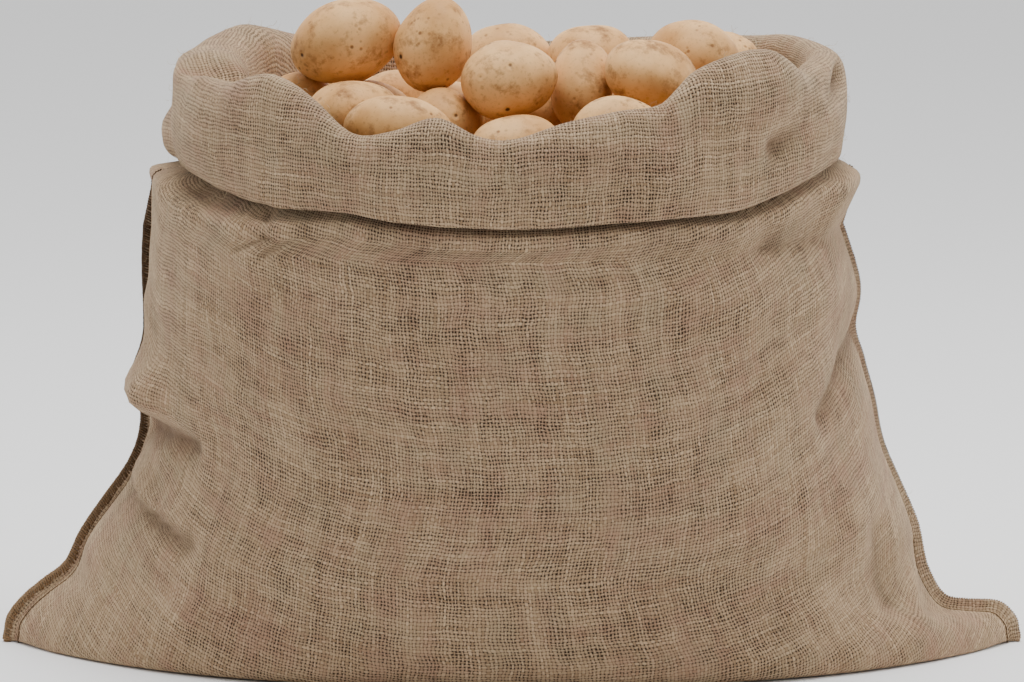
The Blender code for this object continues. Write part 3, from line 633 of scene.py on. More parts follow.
def cloth_grid(side, ear_share):
    """One side of the sack from the bottom fold to the hem's end, and its crease depths for the
    painted shade in creases.
    """
    steps = np.linspace(-1, 1, COLUMNS + 1)
    grid, depths = [], []
    for i in range(BODY_COUNT):
        place = i / BODY_STEPS
        reach = np.interp(place, EAR_ROWS, (ear_share, 1))
        points, outs = body_line(place, steps * reach, side)
        grid.append(folded(points, outs, steps * reach))
        depths.append(crease_shade_depths(points))
    for i in range((len(CUFF_ROWS) - 1) * CUFF_STEPS + 1):
        points, outs = cuff_line(i / CUFF_STEPS, steps, side)
        grid.append(folded(points, outs, steps))
        depths.append(crease_shade_depths(points))
    return np.array(grid), np.array(depths)


def grid_normals(grid, side):
    """The cloth's outward direction at each point of a grid."""
    up = np.concatenate([grid[1:], grid[-1:]]) - np.concatenate([grid[:1], grid[:-1]])
    right = np.concatenate([grid[:, 1:], grid[:, -1:]], axis=1)
    right -= np.concatenate([grid[:, :1], grid[:, :-1]], axis=1)
    normals = np.cross(right, up) * -SIDES[side]
    lengths = np.linalg.norm(normals, axis=2)
    return normals / np.maximum(lengths, NO_AREA)[:, :, None]


def offset_grid(grid, side, distance, least_y, floor):
    """A grid moved along its normals, kept above a floor and off the other side."""
    moved = grid + grid_normals(grid, side) * distance
    moved[:, :, 1] = SIDES[side] * np.maximum(moved[:, :, 1] * SIDES[side], least_y)
    on_floor = grid[:, :, 2] <= CLOTH / 2 + FLOOR_EPSILON
    moved[:, :, 2] = np.where(on_floor, floor, np.maximum(moved[:, :, 2], floor))
    moved[0, :, 1] = 0
    moved[0, :, 2] = floor
    return moved


def flat_lengths(grid):
    """The distance along the cloth from the bottom fold to each point of a grid.

    On the cuff the weft runs level with its lower edge, and its spare length is taken up
    on the way up inside it.
    """
    gaps = np.linalg.norm(np.diff(grid, axis=0), axis=2)
    lengths = np.concatenate([np.zeros((1, grid.shape[1])), np.cumsum(gaps, axis=0)])
    lengths = evened_out(lengths)
    crease = BODY_COUNT + HEM_CREASE_ROW * CUFF_STEPS
    first, last = [BODY_COUNT + row * CUFF_STEPS for row in CUFF_INSIDE_ROWS]
    level = lengths[crease].mean() - lengths[crease]
    share = np.clip((np.arange(len(grid)) - first) / (last - first), 0, 1)
    return lengths + share[:, None] * level


def evened_out(lengths):
    """Lengths along the cloth with the sudden changes from column to column smoothed."""
    weights = np.exp(-(np.arange(-EVENING_REACH, EVENING_REACH + 1) / EVENING_SPREAD) ** 2)
    weights /= weights.sum()
    padded = np.pad(lengths, ((0, 0), (EVENING_REACH, EVENING_REACH)), mode="edge")
    return sum(weight * padded[:, k:k + lengths.shape[1]] for k, weight in enumerate(weights))


def seam_corners(outer, i):
    """The square outer edge of both seams beside a row: right, then left."""
    place = min(i / BODY_STEPS, len(BODY_ROWS) - 1)
    row = body_row(place)
    corners = []
    for end, column, order in (("right", -1, ("front", "back")),
                               ("left", 0, ("back", "front"))):
        root_x, root_z = seam_root(place, end)
        reach = np.array([row[end + "_x"] - root_x, 0, max(row[end + "_z"], 0) - root_z]) * MM
        middle = (outer["front"][i, column] + outer["back"][i, column]) / 2 + reach
        middle[2] = max(middle[2], 0)
        half = SEAM_THICKNESS / 2 if i > 0 else 0.0
        corners.append([np.array([middle[0], SIDES[side] * half, middle[2]])
                        for side in order])
    return corners


def make_sack(material):
    """The whole sack, one closed skin: its outer face, hem end and inner face."""
    mid, depths = {}, {}
    for side in SIDES:
        mid[side], depths[side] = cloth_grid(side, 1.0)
    inside = {side: cloth_grid(side, EAR_SHARE)[0] for side in SIDES}
    outer = {side: offset_grid(mid[side], side, CLOTH / 2, 0.0, 0.0) for side in SIDES}
    inner = {side: offset_grid(inside[side], side, -CLOTH / 2, SEAM_GAP, CLOTH) for side in SIDES}
    along = {side: flat_lengths(mid[side]) for side in SIDES}
    rings, edges = [], []
    for grids in (outer, inner):
        rows = []
        for i in range(len(outer["front"])):
            front, back = grids["front"][i], grids["back"][i]
            right, left = [front[-1], back[-1]], [back[0], front[0]]
            if grids is outer and i < BODY_COUNT:
                right, left = seam_corners(outer, i)
            if grids is outer and i < BODY_COUNT + SHOULDER_STEPS:
                edges.append(((left[0] + left[1]) / 2, (right[0] + right[1]) / 2))
            rows.append((np.concatenate([front, right, back[::-1], left]),
                         around(along["front"][i], along["back"][i]),
                         around(depths["front"][i], depths["back"][i])))
        if grids is inner:
            rows.reverse()
        rings += rows
    sack = add_piece("hessian_cloth", ring_mesh("hessian_cloth", rings), material)
    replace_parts(sack, "sack")
    return sack, outer, edges


def flat_widths():
    """Where each point of a ring lies across the flat cloth, and where the ring ends."""
    steps = np.linspace(-0.5, 0.5, COLUMNS + 1) * FLAT_WIDTH
    seam = FLAT_SEAM
    return np.concatenate([steps, [steps[-1] + seam] * 2, steps + FLAT_WIDTH + 2 * seam,
                           [steps[-1] + FLAT_WIDTH + 3 * seam] * 2,
                           [steps[0] + 2 * (FLAT_WIDTH + 2 * seam)]])


def around(front, back):
    """A value for each point of a ring: the front, the right seam, the back, the left seam."""
    return np.concatenate([front, [front[-1]] * 2, back[::-1], [back[0]] * 2])


def ring_mesh(name, rings):
    """A skin through rings of points, with its UV map along the flat cloth.

    Each ring has its points, their lengths along the cloth and their crease depths, which set the
    painted shade in creases.
    """
    ring_u = flat_widths()
    bm = bmesh.new()
    uv_layer = bm.loops.layers.uv.new("cloth")
    edge_layer = bm.verts.layers.float.new("seam_edge")
    # the crease depths, kept for the painted shade that darkens the cloth in its creases
    crease_shade_layer = bm.verts.layers.float.new("crease")
    count = len(rings[0][0])
    corners = (count - 2, count - 1)
    made = []
    for i, (ring, _, depths) in enumerate(rings):
        line = [bm.verts.new(point) for point in ring]
        for vert, depth in zip(line, depths):
            vert[crease_shade_layer] = depth
        if i < BODY_COUNT:
            for j in corners:
                line[j][edge_layer] = 1.0
        made.append(line)
    for i in range(len(made) - 1):
        for j in range(count):
            k = (j + 1) % count
            face = bm.faces.new((made[i][j], made[i][k], made[i + 1][k], made[i + 1][j]))
            spots = ((i, j, j), (i, k, j + 1), (i + 1, k, j + 1), (i + 1, j, j))
            for loop, (row, column, u_index) in zip(face.loops, spots):
                loop[uv_layer].uv = (ring_u[u_index], rings[row][1][column])
    bmesh.ops.remove_doubles(bm, verts=bm.verts, dist=DOUBLES)
    bmesh.ops.dissolve_degenerate(bm, edges=bm.edges, dist=NO_LENGTH)
    bmesh.ops.recalc_face_normals(bm, faces=bm.faces)
    return smooth_mesh(name, bm)


# ---- repeated small pieces: stitches and fibres ---------------------------------------------


def tube(name, path, radii, sides):
    """A thin tube along a short path in millimetres, closed at both ends."""
    bm = bmesh.new()
    rings = []
    for i, point in enumerate(path):
        ahead = Vector(path[min(i + 1, len(path) - 1)]) - Vector(path[max(i - 1, 0)])
        # taken in metres, as Blender turns a nearly upright vector by its length too
        turn = (ahead * MM).to_track_quat("Z", "Y")
        ring = []
        for k in range(sides):
            angle = 2 * math.pi * k / sides
            round_it = turn @ Vector((math.cos(angle), math.sin(angle), 0)) * radii[i]
            ring.append(bm.verts.new(Vector(point) + round_it))
        rings.append(ring)
    for low, high in zip(rings, rings[1:]):
        for k in range(sides):
            j = (k + 1) % sides
            bm.faces.new((low[k], low[j], high[j], high[k]))
    bm.faces.new(rings[0][::-1])
    bm.faces.new(rings[-1])
    return smooth_mesh(name, bm)


def repeat_shapes(name, shapes, places, turns, sizes, picks, material):
    """Shapes drawn in millimetres and set at places, as one mesh made by Geometry Nodes."""
    collection = bpy.data.collections.new(name + "_shapes")
    for shape in shapes:
        collection.objects.link(bpy.data.objects.new(shape.name, shape))
    mesh = bpy.data.meshes.new(name + "_places")
    mesh.from_pydata([tuple(place) for place in places], [], [])
    attributes = (("turn", "FLOAT_VECTOR", "vector", turns), ("size", "FLOAT", "value", sizes),
                  ("pick", "INT", "value", picks))
    for label, kind, field, values in attributes:
        mesh.attributes.new(label, kind, "POINT").data.foreach_set(field, np.ravel(values))
    tree = bpy.data.node_groups.new(name, "GeometryNodeTree")
    tree.interface.new_socket("Places", in_out="INPUT", socket_type="NodeSocketGeometry")
    unit = tree.interface.new_socket("Shape Unit", in_out="INPUT", socket_type="NodeSocketFloat")
    tree.interface.new_socket("Threads", in_out="OUTPUT", socket_type="NodeSocketGeometry")
    given = add_node(tree, "NodeGroupInput")
    turn, size, pick = [add_node(tree, "GeometryNodeInputNamedAttribute", {"Name": label},
                                 data_type=kind)["Attribute"] for label, kind, _, _ in attributes]
    scale = add_node(tree, "ShaderNodeMath", {0: size, 1: given["Shape Unit"]},
                     operation="MULTIPLY")[0]
    drawn = add_node(tree, "GeometryNodeCollectionInfo",
                     {"Collection": collection, "Separate Children": True,
                      "Reset Children": True})[0]
    placed = add_node(tree, "GeometryNodeInstanceOnPoints",
                      {"Points": given["Places"], "Instance": drawn, "Pick Instance": True,
                       "Instance Index": pick, "Rotation": turn, "Scale": scale})[0]
    joined = add_node(tree, "GeometryNodeRealizeInstances", {0: placed})[0]
    dressed = add_node(tree, "GeometryNodeSetMaterial",
                       {"Geometry": joined, "Material": material})[0]
    add_node(tree, "NodeGroupOutput", {0: dressed})
    holder = put_in_scene(name + "_places", mesh)
    modifier = holder.modifiers.new(name, "NODES")
    modifier.node_group = tree
    modifier[unit.identifier] = MM
    depsgraph = bpy.context.evaluated_depsgraph_get()
    made = bpy.data.meshes.new_from_object(holder.evaluated_get(depsgraph))
    made.name = name
    for used in (holder, *collection.objects):
        bpy.data.objects.remove(used)
    bpy.data.collections.remove(collection)
    return made


def spaced_along(points, pitch):
    """Points a pitch apart along a path, and the path's direction at each."""
    points = np.array(points)
    lengths = np.concatenate([[0], np.cumsum(np.linalg.norm(np.diff(points, axis=0), axis=1))])
    marks = np.arange(pitch / 2, lengths[-1], pitch)
    places, ahead, behind = [
        np.stack([np.interp(marks + step, lengths, points[:, k]) for k in range(3)], axis=1)
        for step in (0, pitch, -pitch)]
    ways = ahead - behind
    return places, ways / np.maximum(np.linalg.norm(ways, axis=1), NO_LENGTH)[:, None]


def turn_to(along, out):
    """The Euler turn that takes X along a path and Z out of it."""
    along = Vector(along).normalized()
    side = Vector(out).cross(along).normalized()
    up = along.cross(side)
    return Matrix((along, side, up)).transposed().to_euler()


def make_overlock(edges, material):
    """The dark overlock thread that wraps the raw edges of both seams."""
    half = SEAM_THICKNESS / 2 / MM
    loops = []
    for number, slant in enumerate(OVERLOCK_SLANTS * 2):
        # along the edge, through the seam, and out of its edge
        path = [(-slant, -half + 0.1, -4.4), (-slant * 0.6, -half - 0.45, -3.0),
                (-slant * 0.3, -half - 0.5, -1.2), (-0.1, -half + 0.5, 0.35),
                (0.1, half - 0.5, 0.35), (slant * 0.3, half + 0.5, -1.2),
                (slant * 0.6, half + 0.45, -3.0), (slant, half - 0.1, -4.4)]
        if number >= len(OVERLOCK_SLANTS):
            # the right seam is turned over, so its thread shows at the back only
            path = path[:4] + [(0.3, -0.6, 0.0)]
        radii = [OVERLOCK_RADIUS] * len(path)
        loops.append(tube(f"overlock_loop_{number}", path, radii, THREAD_SIDES))
    random = np.random.default_rng(SEEDS["overlock"])
    places, turns, picks = [], [], []
    for end, sign in ((0, -1), (1, 1)):
        spots, ways = spaced_along([edge[end] for edge in edges], OVERLOCK_PITCH)
        for spot, way in zip(spots, ways):
            out = np.cross((0, sign, 0), way)
            places.append(spot)
            turns.append(turn_to(way, out if out[0] * sign > 0 else -out))
            picks.append(random.integers(0, len(OVERLOCK_SLANTS)) + len(OVERLOCK_SLANTS) * end)
    sizes = random.uniform(*OVERLOCK_SIZES, len(places))
    mesh = repeat_shapes("seam_overlock", loops, places, turns, sizes, picks, material)
    return add_piece("seam_overlock", mesh, material)


def make_seam_stitches(outer, material):
    """The row of stitches that joins front to back just inside each seam's edge."""
    stitch = tube("seam_stitch", STITCH_PATH, STITCH_RADII, THREAD_SIDES)
    places, turns = [], []
    for side in SIDES:
        for column in (1, COLUMNS - 1):
            # from the front the right seam's stitches show along the ear only
            turned = column > 1 and side == "front"
            last = EAR_TOP_ROW * BODY_STEPS if turned else BODY_COUNT
            line = outer[side][STITCHES_FROM:last, column]
            spots, ways = spaced_along(line, STITCH_PITCH)
            for spot, way in zip(spots, ways):
                out = np.array([0, SIDES[side], 0.0])
                places.append(spot + out * STITCH_PROUD)
                turns.append(turn_to(way, out))
    count = len(places)
    mesh = repeat_shapes("seam_stitches", [stitch], places, turns, np.ones(count),
                         np.zeros(count, int), material)
    return add_piece("seam_stitches", mesh, material)


def make_fibres(sack, material):
    """Loose jute fibres that stand off the cloth, most of them along the rolled rim."""
    random = np.random.default_rng(SEEDS["fibres"])
    shapes = []
    for number in range(FIBRE_SHAPES):
        heading = np.array([*random.normal(0, FIBRE_START, 2), 1.0])
        point = np.zeros(3)
        path = [tuple(point)]
        for _ in FIBRE_RADII[1:]:
            heading += random.normal(0, FIBRE_SPREAD, 3)
            heading /= np.linalg.norm(heading)
            point = point + heading * FIBRE_STEP
            path.append(tuple(point))
        shapes.append(tube(f"fibre_{number}", path, FIBRE_RADII, FIBRE_SIDES))
    mesh = sack.data
    faces = [face for face in mesh.polygons if face.center.z > FIBRES_FROM]
    weight = np.array([face.area for face in faces])
    heights = np.array([face.center.z for face in faces])
    for height, times in (FIBRES_ON_CUFF, FIBRES_ON_RIM):
        weight *= np.where(heights > height, times, 1.0)
    picks = random.choice(len(faces), size=FIBRE_COUNT, p=weight / weight.sum())
    places, turns = [], []
    for index in picks:
        face = faces[index]
        corners = [mesh.vertices[v].co for v in face.vertices]
        shares = random.dirichlet(np.ones(len(corners)))
        spot = sum((corner * float(share) for corner, share in zip(corners, shares)), Vector())
        way = (face.normal + Vector(random.normal(0, FIBRE_SPREAD, 3))).normalized()
        places.append(spot - face.normal * FIBRE_ROOT)
        turns.append(way.to_track_quat("Z", "Y").to_euler())
    sizes = np.exp(random.normal(*FIBRE_SIZES, len(places)))
    picks = random.integers(0, FIBRE_SHAPES, len(places))
    mesh = repeat_shapes("loose_fibres", shapes, places, turns, sizes, picks, material)
    return add_piece("loose_fibres", mesh, material)


# ---- the potatoes ---------------------------------------------------------------------------


def ball(cuts):
    """Points and faces of a cube blown up to a ball of radius 0.5, with even squares."""
    bm = bmesh.new()
    bmesh.ops.create_cube(bm, size=1.0)
    bmesh.ops.subdivide_edges(bm, edges=bm.edges, cuts=cuts, use_grid_fill=True)
    points = np.array([vert.co.normalized() * 0.5 for vert in bm.verts])
    bm.verts.index_update()
    faces = [[vert.index for vert in face.verts] for face in bm.faces]
    bm.free()
    return points, faces


def potato_points(row, points):
    """The points of a ball drawn out to a potato's shape, as its solid's points are."""
    phase = row["x"] * 0.7 + row["y"] * 0.3
    turn = Euler([math.radians(row[key]) for key in ("roll", "tilt", "turn")]).to_matrix()
    wide, high, long = points.T
    blunt = 1 + 0.07 * np.sin(3.0 * long + phase) + 0.05 * np.sin(5 * wide + 4 * high + phase)
    shape = np.stack([long * row["length"], wide * row["width"] * blunt,
                      high * row["height"] * blunt], axis=1)
    return shape * MM @ np.array(turn).T


def coarse_box_middle(row):
    """The middle of the box round a potato's solid, which is drawn out from a coarser ball."""
    points = [(0, 0, 0.5), (0, 0, -0.5)]
    for ring in range(1, SOLID_RINGS):
        down = math.pi * ring / SOLID_RINGS
        for segment in range(SOLID_SEGMENTS):
            angle = 2 * math.pi * segment / SOLID_SEGMENTS
            points.append((0.5 * math.sin(down) * math.cos(angle),
                           0.5 * math.sin(down) * math.sin(angle), 0.5 * math.cos(down)))
    shape = potato_points(row, np.array(points))
    return (shape.min(axis=0) + shape.max(axis=0)) / 2


def knobbly(points, seed):
    """Points of a potato moved by its low swells and hollows, a millimetre or so."""
    swell = waves(points, np.random.default_rng(seed), KNOB_WAVES, KNOB_LENGTHS) * KNOB_HEIGHT
    far = np.maximum(np.linalg.norm(points, axis=1), NO_LENGTH)
    return points * (1 + (swell / far)[:, None])


def make_potatoes(material):
    """Each potato of the mouth, finer than its solid and in the same place."""
    unit, faces = ball(POTATO_CUTS)
    for number, row in enumerate(POTATO_ROWS, start=1):
        node = f"potato_{number:02d}"
        low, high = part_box(node)
        middle = (np.array(low) + np.array(high)) / 2 - coarse_box_middle(row)
        mesh = bpy.data.meshes.new(node + "_skin")
        mesh.from_pydata(knobbly(potato_points(row, unit), number) + middle, [], faces)
        mesh.shade_smooth()
        piece = add_piece(node + "_skin", mesh, material)
        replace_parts(piece, node)


def make_hidden_potatoes(material):
    """The filling, with the next layer of potatoes standing out of its top."""
    bm = bmesh.new()
    bm.from_mesh(frame["nodes"]["potato_fill"].data)
    bmesh.ops.remove_doubles(bm, verts=bm.verts, dist=SOLID_DOUBLES)
    bm.normal_update()
    for vert in bm.verts:
        if vert.co.z < FILLING_WALL_TOP:
            vert.co -= vert.normal * FILLING_INSET
    unit, faces = ball(HIDDEN_CUTS)
    random = np.random.default_rng(SEEDS["hidden"])
    for line in range(-2, 3):
        for column in range(-3, 4):
            x = (column + 0.5 * (line % 2)) * LUMP_PITCH
            y = line * LUMP_ROW_PITCH
            sideways = abs(x - MOUTH_MIDDLE) / MOUTH_WIDTH
            inwards = abs(y) / MOUTH_DEPTH
            if sideways**MOUTH_SQUARE + inwards**MOUTH_SQUARE > 1:
                continue
            row = {"x": x / MM, "y": y / MM, "roll": 0}
            for key, least, most in HIDDEN_RANGES:
                row[key] = random.uniform(least, most)
            points = potato_points(row, unit)
            points += (x, y, TOP_OF_FILLING + LUMP_HEIGHT + HIDDEN_PROUD - points[:, 2].max())
            verts = [bm.verts.new(point) for point in points]
            for face in faces:
                bm.faces.new([verts[k] for k in face])
    mesh = smooth_mesh("hidden_potatoes", bm)
    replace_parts(add_piece("hidden_potatoes", mesh, material), "potato_fill")


# ---- materials ------------------------------------------------------------------------------


MATH = "ShaderNodeMath"
VECTOR = "ShaderNodeVectorMath"
RANGE = "ShaderNodeMapRange"
NOISE = "ShaderNodeTexNoise"
MIX = "ShaderNodeMix"
ACROSS, ALONG, UP = 0, 1, 2


def new_material(name):
    """A material with its tree and its shader."""
    material = bpy.data.materials.new(name)
    material.use_nodes = True
    tree = material.node_tree
    return material, tree, tree.nodes["Principled BSDF"]


def coloured(tree, base, layers):
    """A base colour with others laid over it, one after another.

    A layer's share follows a value: it goes from one share to another as the value goes from
    low to high.
    """
    colour = linear(base)
    for value, low, high, start, end, tint in layers:
        share = add_node(tree, RANGE, {0: value, 1: low, 2: high, 3: start, 4: end})[0]
        colour = add_node(tree, MIX, {0: share, 6: colour, 7: linear(tint)}, data_type="RGBA")[2]
    return colour


def wandering(tree, flat):
    """The flat cloth's coordinates, moved about so that no yarn runs straight."""
    moved = flat
    for length, reach in ((WANDER_LENGTH, WANDER), (TREMBLE_LENGTH, TREMBLE)):
        drift = add_node(tree, NOISE, {"Vector": flat, "Scale": 1 / length, "Detail": 2.0})["Color"]
        drift = add_node(tree, VECTOR, {0: drift, 1: (0.5, 0.5, 0.5)}, operation="SUBTRACT")[0]
        moved = add_node(tree, VECTOR, {0: drift, 1: (reach, reach, 0), 2: moved},
                         operation="MULTIPLY_ADD")[0]
    return moved


def yarn_set(tree, place, across, pitch, seed):
    """One set of parallel yarns: their count, slubs and tone, and how far off a yarn's middle."""
    split = add_node(tree, "ShaderNodeSeparateXYZ", {0: place})
    count = add_node(tree, MATH, {0: split[across], 1: pitch}, operation="DIVIDE")[0]
    index = add_node(tree, MATH, {0: count}, operation="FLOOR")[0]
    off = add_node(tree, MATH, {0: count}, operation="FRACT")[0]
    off = add_node(tree, MATH, {0: off, 1: 0.5}, operation="SUBTRACT")[0]
    off = add_node(tree, MATH, {0: off}, operation="ABSOLUTE")[0]
    # each yarn reads its own line of the noise
    yarns = {"count": count, "index": index, "off": off}
    for name, start, length, detail in (("slub", 0.0, SLUB_LENGTH, 2.0),
                                        ("tone", 91.7, YARN_TONE_LENGTH, 3.0)):
        line = add_node(tree, MATH, {0: index, 1: 7.31, 2: seed + start},
                        operation="MULTIPLY_ADD")[0]
        run = add_node(tree, MATH, {0: split[ALONG if across == ACROSS else ACROSS], 1: length},
                       operation="DIVIDE")[0]
        spot = add_node(tree, "ShaderNodeCombineXYZ", {0: line, 1: run})[0]
        yarns[name] = add_node(tree, NOISE, {"Vector": spot, "Scale": 1.0, "Detail": detail,
                                             "Roughness": 0.6})["Fac"]
    return yarns


def yarn_rise(tree, yarns, other, sign, openness):
    """Where one set's yarns are, and how high they ride over and under the other set."""
    half = add_node(tree, RANGE, {0: yarns["slub"], 1: 0.28, 2: 0.72, 3: 0.20, 4: 0.46})[0]
    half = add_node(tree, MATH, {0: half, 1: openness}, operation="SUBTRACT")[0]
    inside = add_node(tree, MATH, {0: half, 1: yarns["off"]}, operation="SUBTRACT")[0]
    there = add_node(tree, RANGE, {0: inside, 1: -0.06, 2: 0.10},
                     interpolation_type="SMOOTHSTEP")[0]
    rounded = add_node(tree, RANGE, {0: inside, 1: 0.0, 2: 0.30, 3: 0.35, 4: 1.0},
                       interpolation_type="SMOOTHSTEP")[0]
    wave = add_node(tree, MATH, {0: other["count"], 1: math.pi}, operation="MULTIPLY")[0]
    wave = add_node(tree, MATH, {0: wave}, operation="SINE")[0]
    odd = add_node(tree, MATH, {0: yarns["index"]}, operation="ABSOLUTE")[0]
    odd = add_node(tree, MATH, {0: odd, 1: 2.0}, operation="MODULO")[0]
    flip = add_node(tree, MATH, {0: odd, 1: -2.0, 2: 1.0}, operation="MULTIPLY_ADD")[0]
    crimp = add_node(tree, MATH, {0: wave, 1: flip}, operation="MULTIPLY")[0]
    crimp = add_node(tree, MATH, {0: crimp, 1: 0.5 * sign, 2: 0.5}, operation="MULTIPLY_ADD")[0]
    rise = add_node(tree, MATH, {0: crimp, 1: rounded}, operation="MULTIPLY")[0]
    rise = add_node(tree, MATH, {0: rise, 1: there}, operation="MULTIPLY")[0]
    return there, rise


def yarn_bands(tree, flat, moved):
    """Three uneven values, of bands of like yarns both ways with broad patches among them."""
    noises = []
    for sizes, place in (((BAND_LENGTH, BAND_WIDTH, 1), moved),
                         ((BAND_WIDTH, BAND_LENGTH, 1), moved),
                         ((PATCH_SIZE, PATCH_SIZE, 1), flat)):
        spot = add_node(tree, VECTOR, {0: place, 1: sizes}, operation="DIVIDE")[0]
        noises.append(add_node(tree, NOISE, {"Vector": spot, "Scale": 1.0, "Detail": 3.0,
                                             "Roughness": 0.6})["Color"])
    rows, columns, patches = noises
    both = add_node(tree, VECTOR, {0: rows, 1: columns}, operation="ADD")[0]
    patches = add_node(tree, VECTOR, {0: patches, 1: (0.28, 0.28, 0.28)}, operation="MULTIPLY")[0]
    bands = add_node(tree, VECTOR, {0: both, 1: (0.36, 0.36, 0.36), 2: patches},
                     operation="MULTIPLY_ADD")[0]
    return add_node(tree, "ShaderNodeSeparateXYZ", {0: bands})


def hessian_material():
    """Undyed jute hessian in open plain weave: uneven, hairy yarns, matt and straw-brown."""
    material, tree, shader = new_material("hessian")
    flat = add_node(tree, "ShaderNodeUVMap", uv_map="cloth")[0]
    moved = wandering(tree, flat)
    warp = yarn_set(tree, moved, ACROSS, WARP_PITCH, 3.0)
    weft = yarn_set(tree, moved, ALONG, WEFT_PITCH, 57.0)
    bands = yarn_bands(tree, flat, moved)
    # the holes open and close from band to band, and the cloth is drawn tighter at the sides
    where = add_node(tree, "ShaderNodeTexCoord")["Object"]
    where = add_node(tree, "ShaderNodeSeparateXYZ", {0: where})
    sideways = add_node(tree, MATH, {0: where[ACROSS]}, operation="ABSOLUTE")[0]
    tight = add_node(tree, RANGE, {0: sideways, 1: 0.13, 2: 0.24, 3: 0.0, 4: 0.06})[0]
    openness = add_node(tree, RANGE, {0: bands[0], 1: 0.40, 2: 0.60, 3: -0.10, 4: 0.05})[0]
    openness = add_node(tree, MATH, {0: openness, 1: tight}, operation="SUBTRACT")[0]
    warp_there, warp_rise = yarn_rise(tree, warp, weft, 1, openness)
    weft_there, weft_rise = yarn_rise(tree, weft, warp, -1, openness)
    over = add_node(tree, MATH, {0: warp_rise, 1: weft_rise}, operation="SUBTRACT")[0]
    on_top = add_node(tree, RANGE, {0: over, 1: -0.12, 2: 0.12})[0]
    tone = add_node(tree, MIX, {0: on_top, 2: weft["tone"], 3: warp["tone"]})[0]
    height = add_node(tree, MATH, {0: warp_rise, 1: weft_rise}, operation="MAXIMUM")[0]
    covered = add_node(tree, MATH, {0: warp_there, 1: weft_there}, operation="MAXIMUM")[0]
    # painted shade: the cloth's colour is darkened in the deep creases
    crease = add_node(tree, "ShaderNodeAttribute", attribute_name="crease")["Fac"]
    # the overlocked edge is worn paler towards the floor
    edge = add_node(tree, "ShaderNodeAttribute", attribute_name="seam_edge")["Fac"]
    edge = add_node(tree, RANGE, {0: edge, 1: 0.45, 2: 0.75})[0]
    worn = add_node(tree, RANGE, {0: where[UP], 1: 0.03, 2: 0.12, 3: 0.35, 4: 1.0})[0]
    edge = add_node(tree, MATH, {0: edge, 1: worn}, operation="MULTIPLY")[0]
    cloth = coloured(tree, HESSIAN_DARK_YARN, (
        (tone, 0.30, 0.72, 0.0, 1.0, HESSIAN_PALE_YARN),
        (bands[1], 0.48, 0.62, 0.0, 0.60, HESSIAN_RUDDY),
        (bands[2], 0.49, 0.63, 0.0, 0.45, HESSIAN_OLIVE),
        # painted shade where a yarn dips under the other set
        (height, 0.10, 0.75, 0.70, 0.0, HESSIAN_PAINTED_SHADE),
        # painted shade seen through the holes between the yarns
        (covered, 0.0, 1.0, 1.0, 0.0, HESSIAN_HOLE_SHADE),
        # painted shade in the creases
        (crease, 0.2, 0.9, 0.0, 0.68, HESSIAN_PAINTED_SHADE),
        (edge, 0.0, 1.0, 0.0, 1.0, OVERLOCK_BROWN)))
    tree.links.new(cloth, shader.inputs["Base Color"])
    bump = add_node(tree, "ShaderNodeBump", {"Strength": 0.55, "Distance": 0.0006,
                                             "Height": height})[0]
    tree.links.new(bump, shader.inputs["Normal"])
    shader.inputs["Roughness"].default_value = 0.92
    shader.inputs["Specular IOR Level"].default_value = 0.15
    shader.inputs["Sheen Weight"].default_value = 0.24
    shader.inputs["Sheen Roughness"].default_value = 0.45
    shader.inputs["Sheen Tint"].default_value = linear(HESSIAN_SHEEN)
    return material


def thread_material(name, dark, pale, worn=None):
    """Spun jute, sewn or standing loose: matt, its tone changing a little along it.

    Towards the floor it turns to its worn colour, if it has one.
    """
    material, tree, shader = new_material(name)
    place = add_node(tree, "ShaderNodeTexCoord")["Object"]
    tone = add_node(tree, NOISE, {"Vector": place, "Scale": 1 / THREAD_TONE_LENGTH,
                                  "Detail": 2.0})["Fac"]
    layers = [(tone, 0.35, 0.65, 0.0, 1.0, pale)]
    if worn:
        height = add_node(tree, "ShaderNodeSeparateXYZ", {0: place})[UP]
        layers.append((height, 0.03, 0.16, 0.8, 0.0, worn))
    tree.links.new(coloured(tree, dark, layers), shader.inputs["Base Color"])
    shader.inputs["Roughness"].default_value = 0.85
    shader.inputs["Specular IOR Level"].default_value = 0.2
    return material


def scattered(tree, place, pitch, picked, channel):
    """Spots a pitch apart, some of them left out: how far each point is off one, and which."""
    cells = add_node(tree, "ShaderNodeTexVoronoi", {"Vector": place, "Scale": 1 / pitch})
    draw = add_node(tree, "ShaderNodeSeparateColor", {0: cells["Color"]})[channel]
    low, high = picked
    return cells["Distance"], add_node(tree, RANGE, {0: draw, 1: low, 2: high})[0]


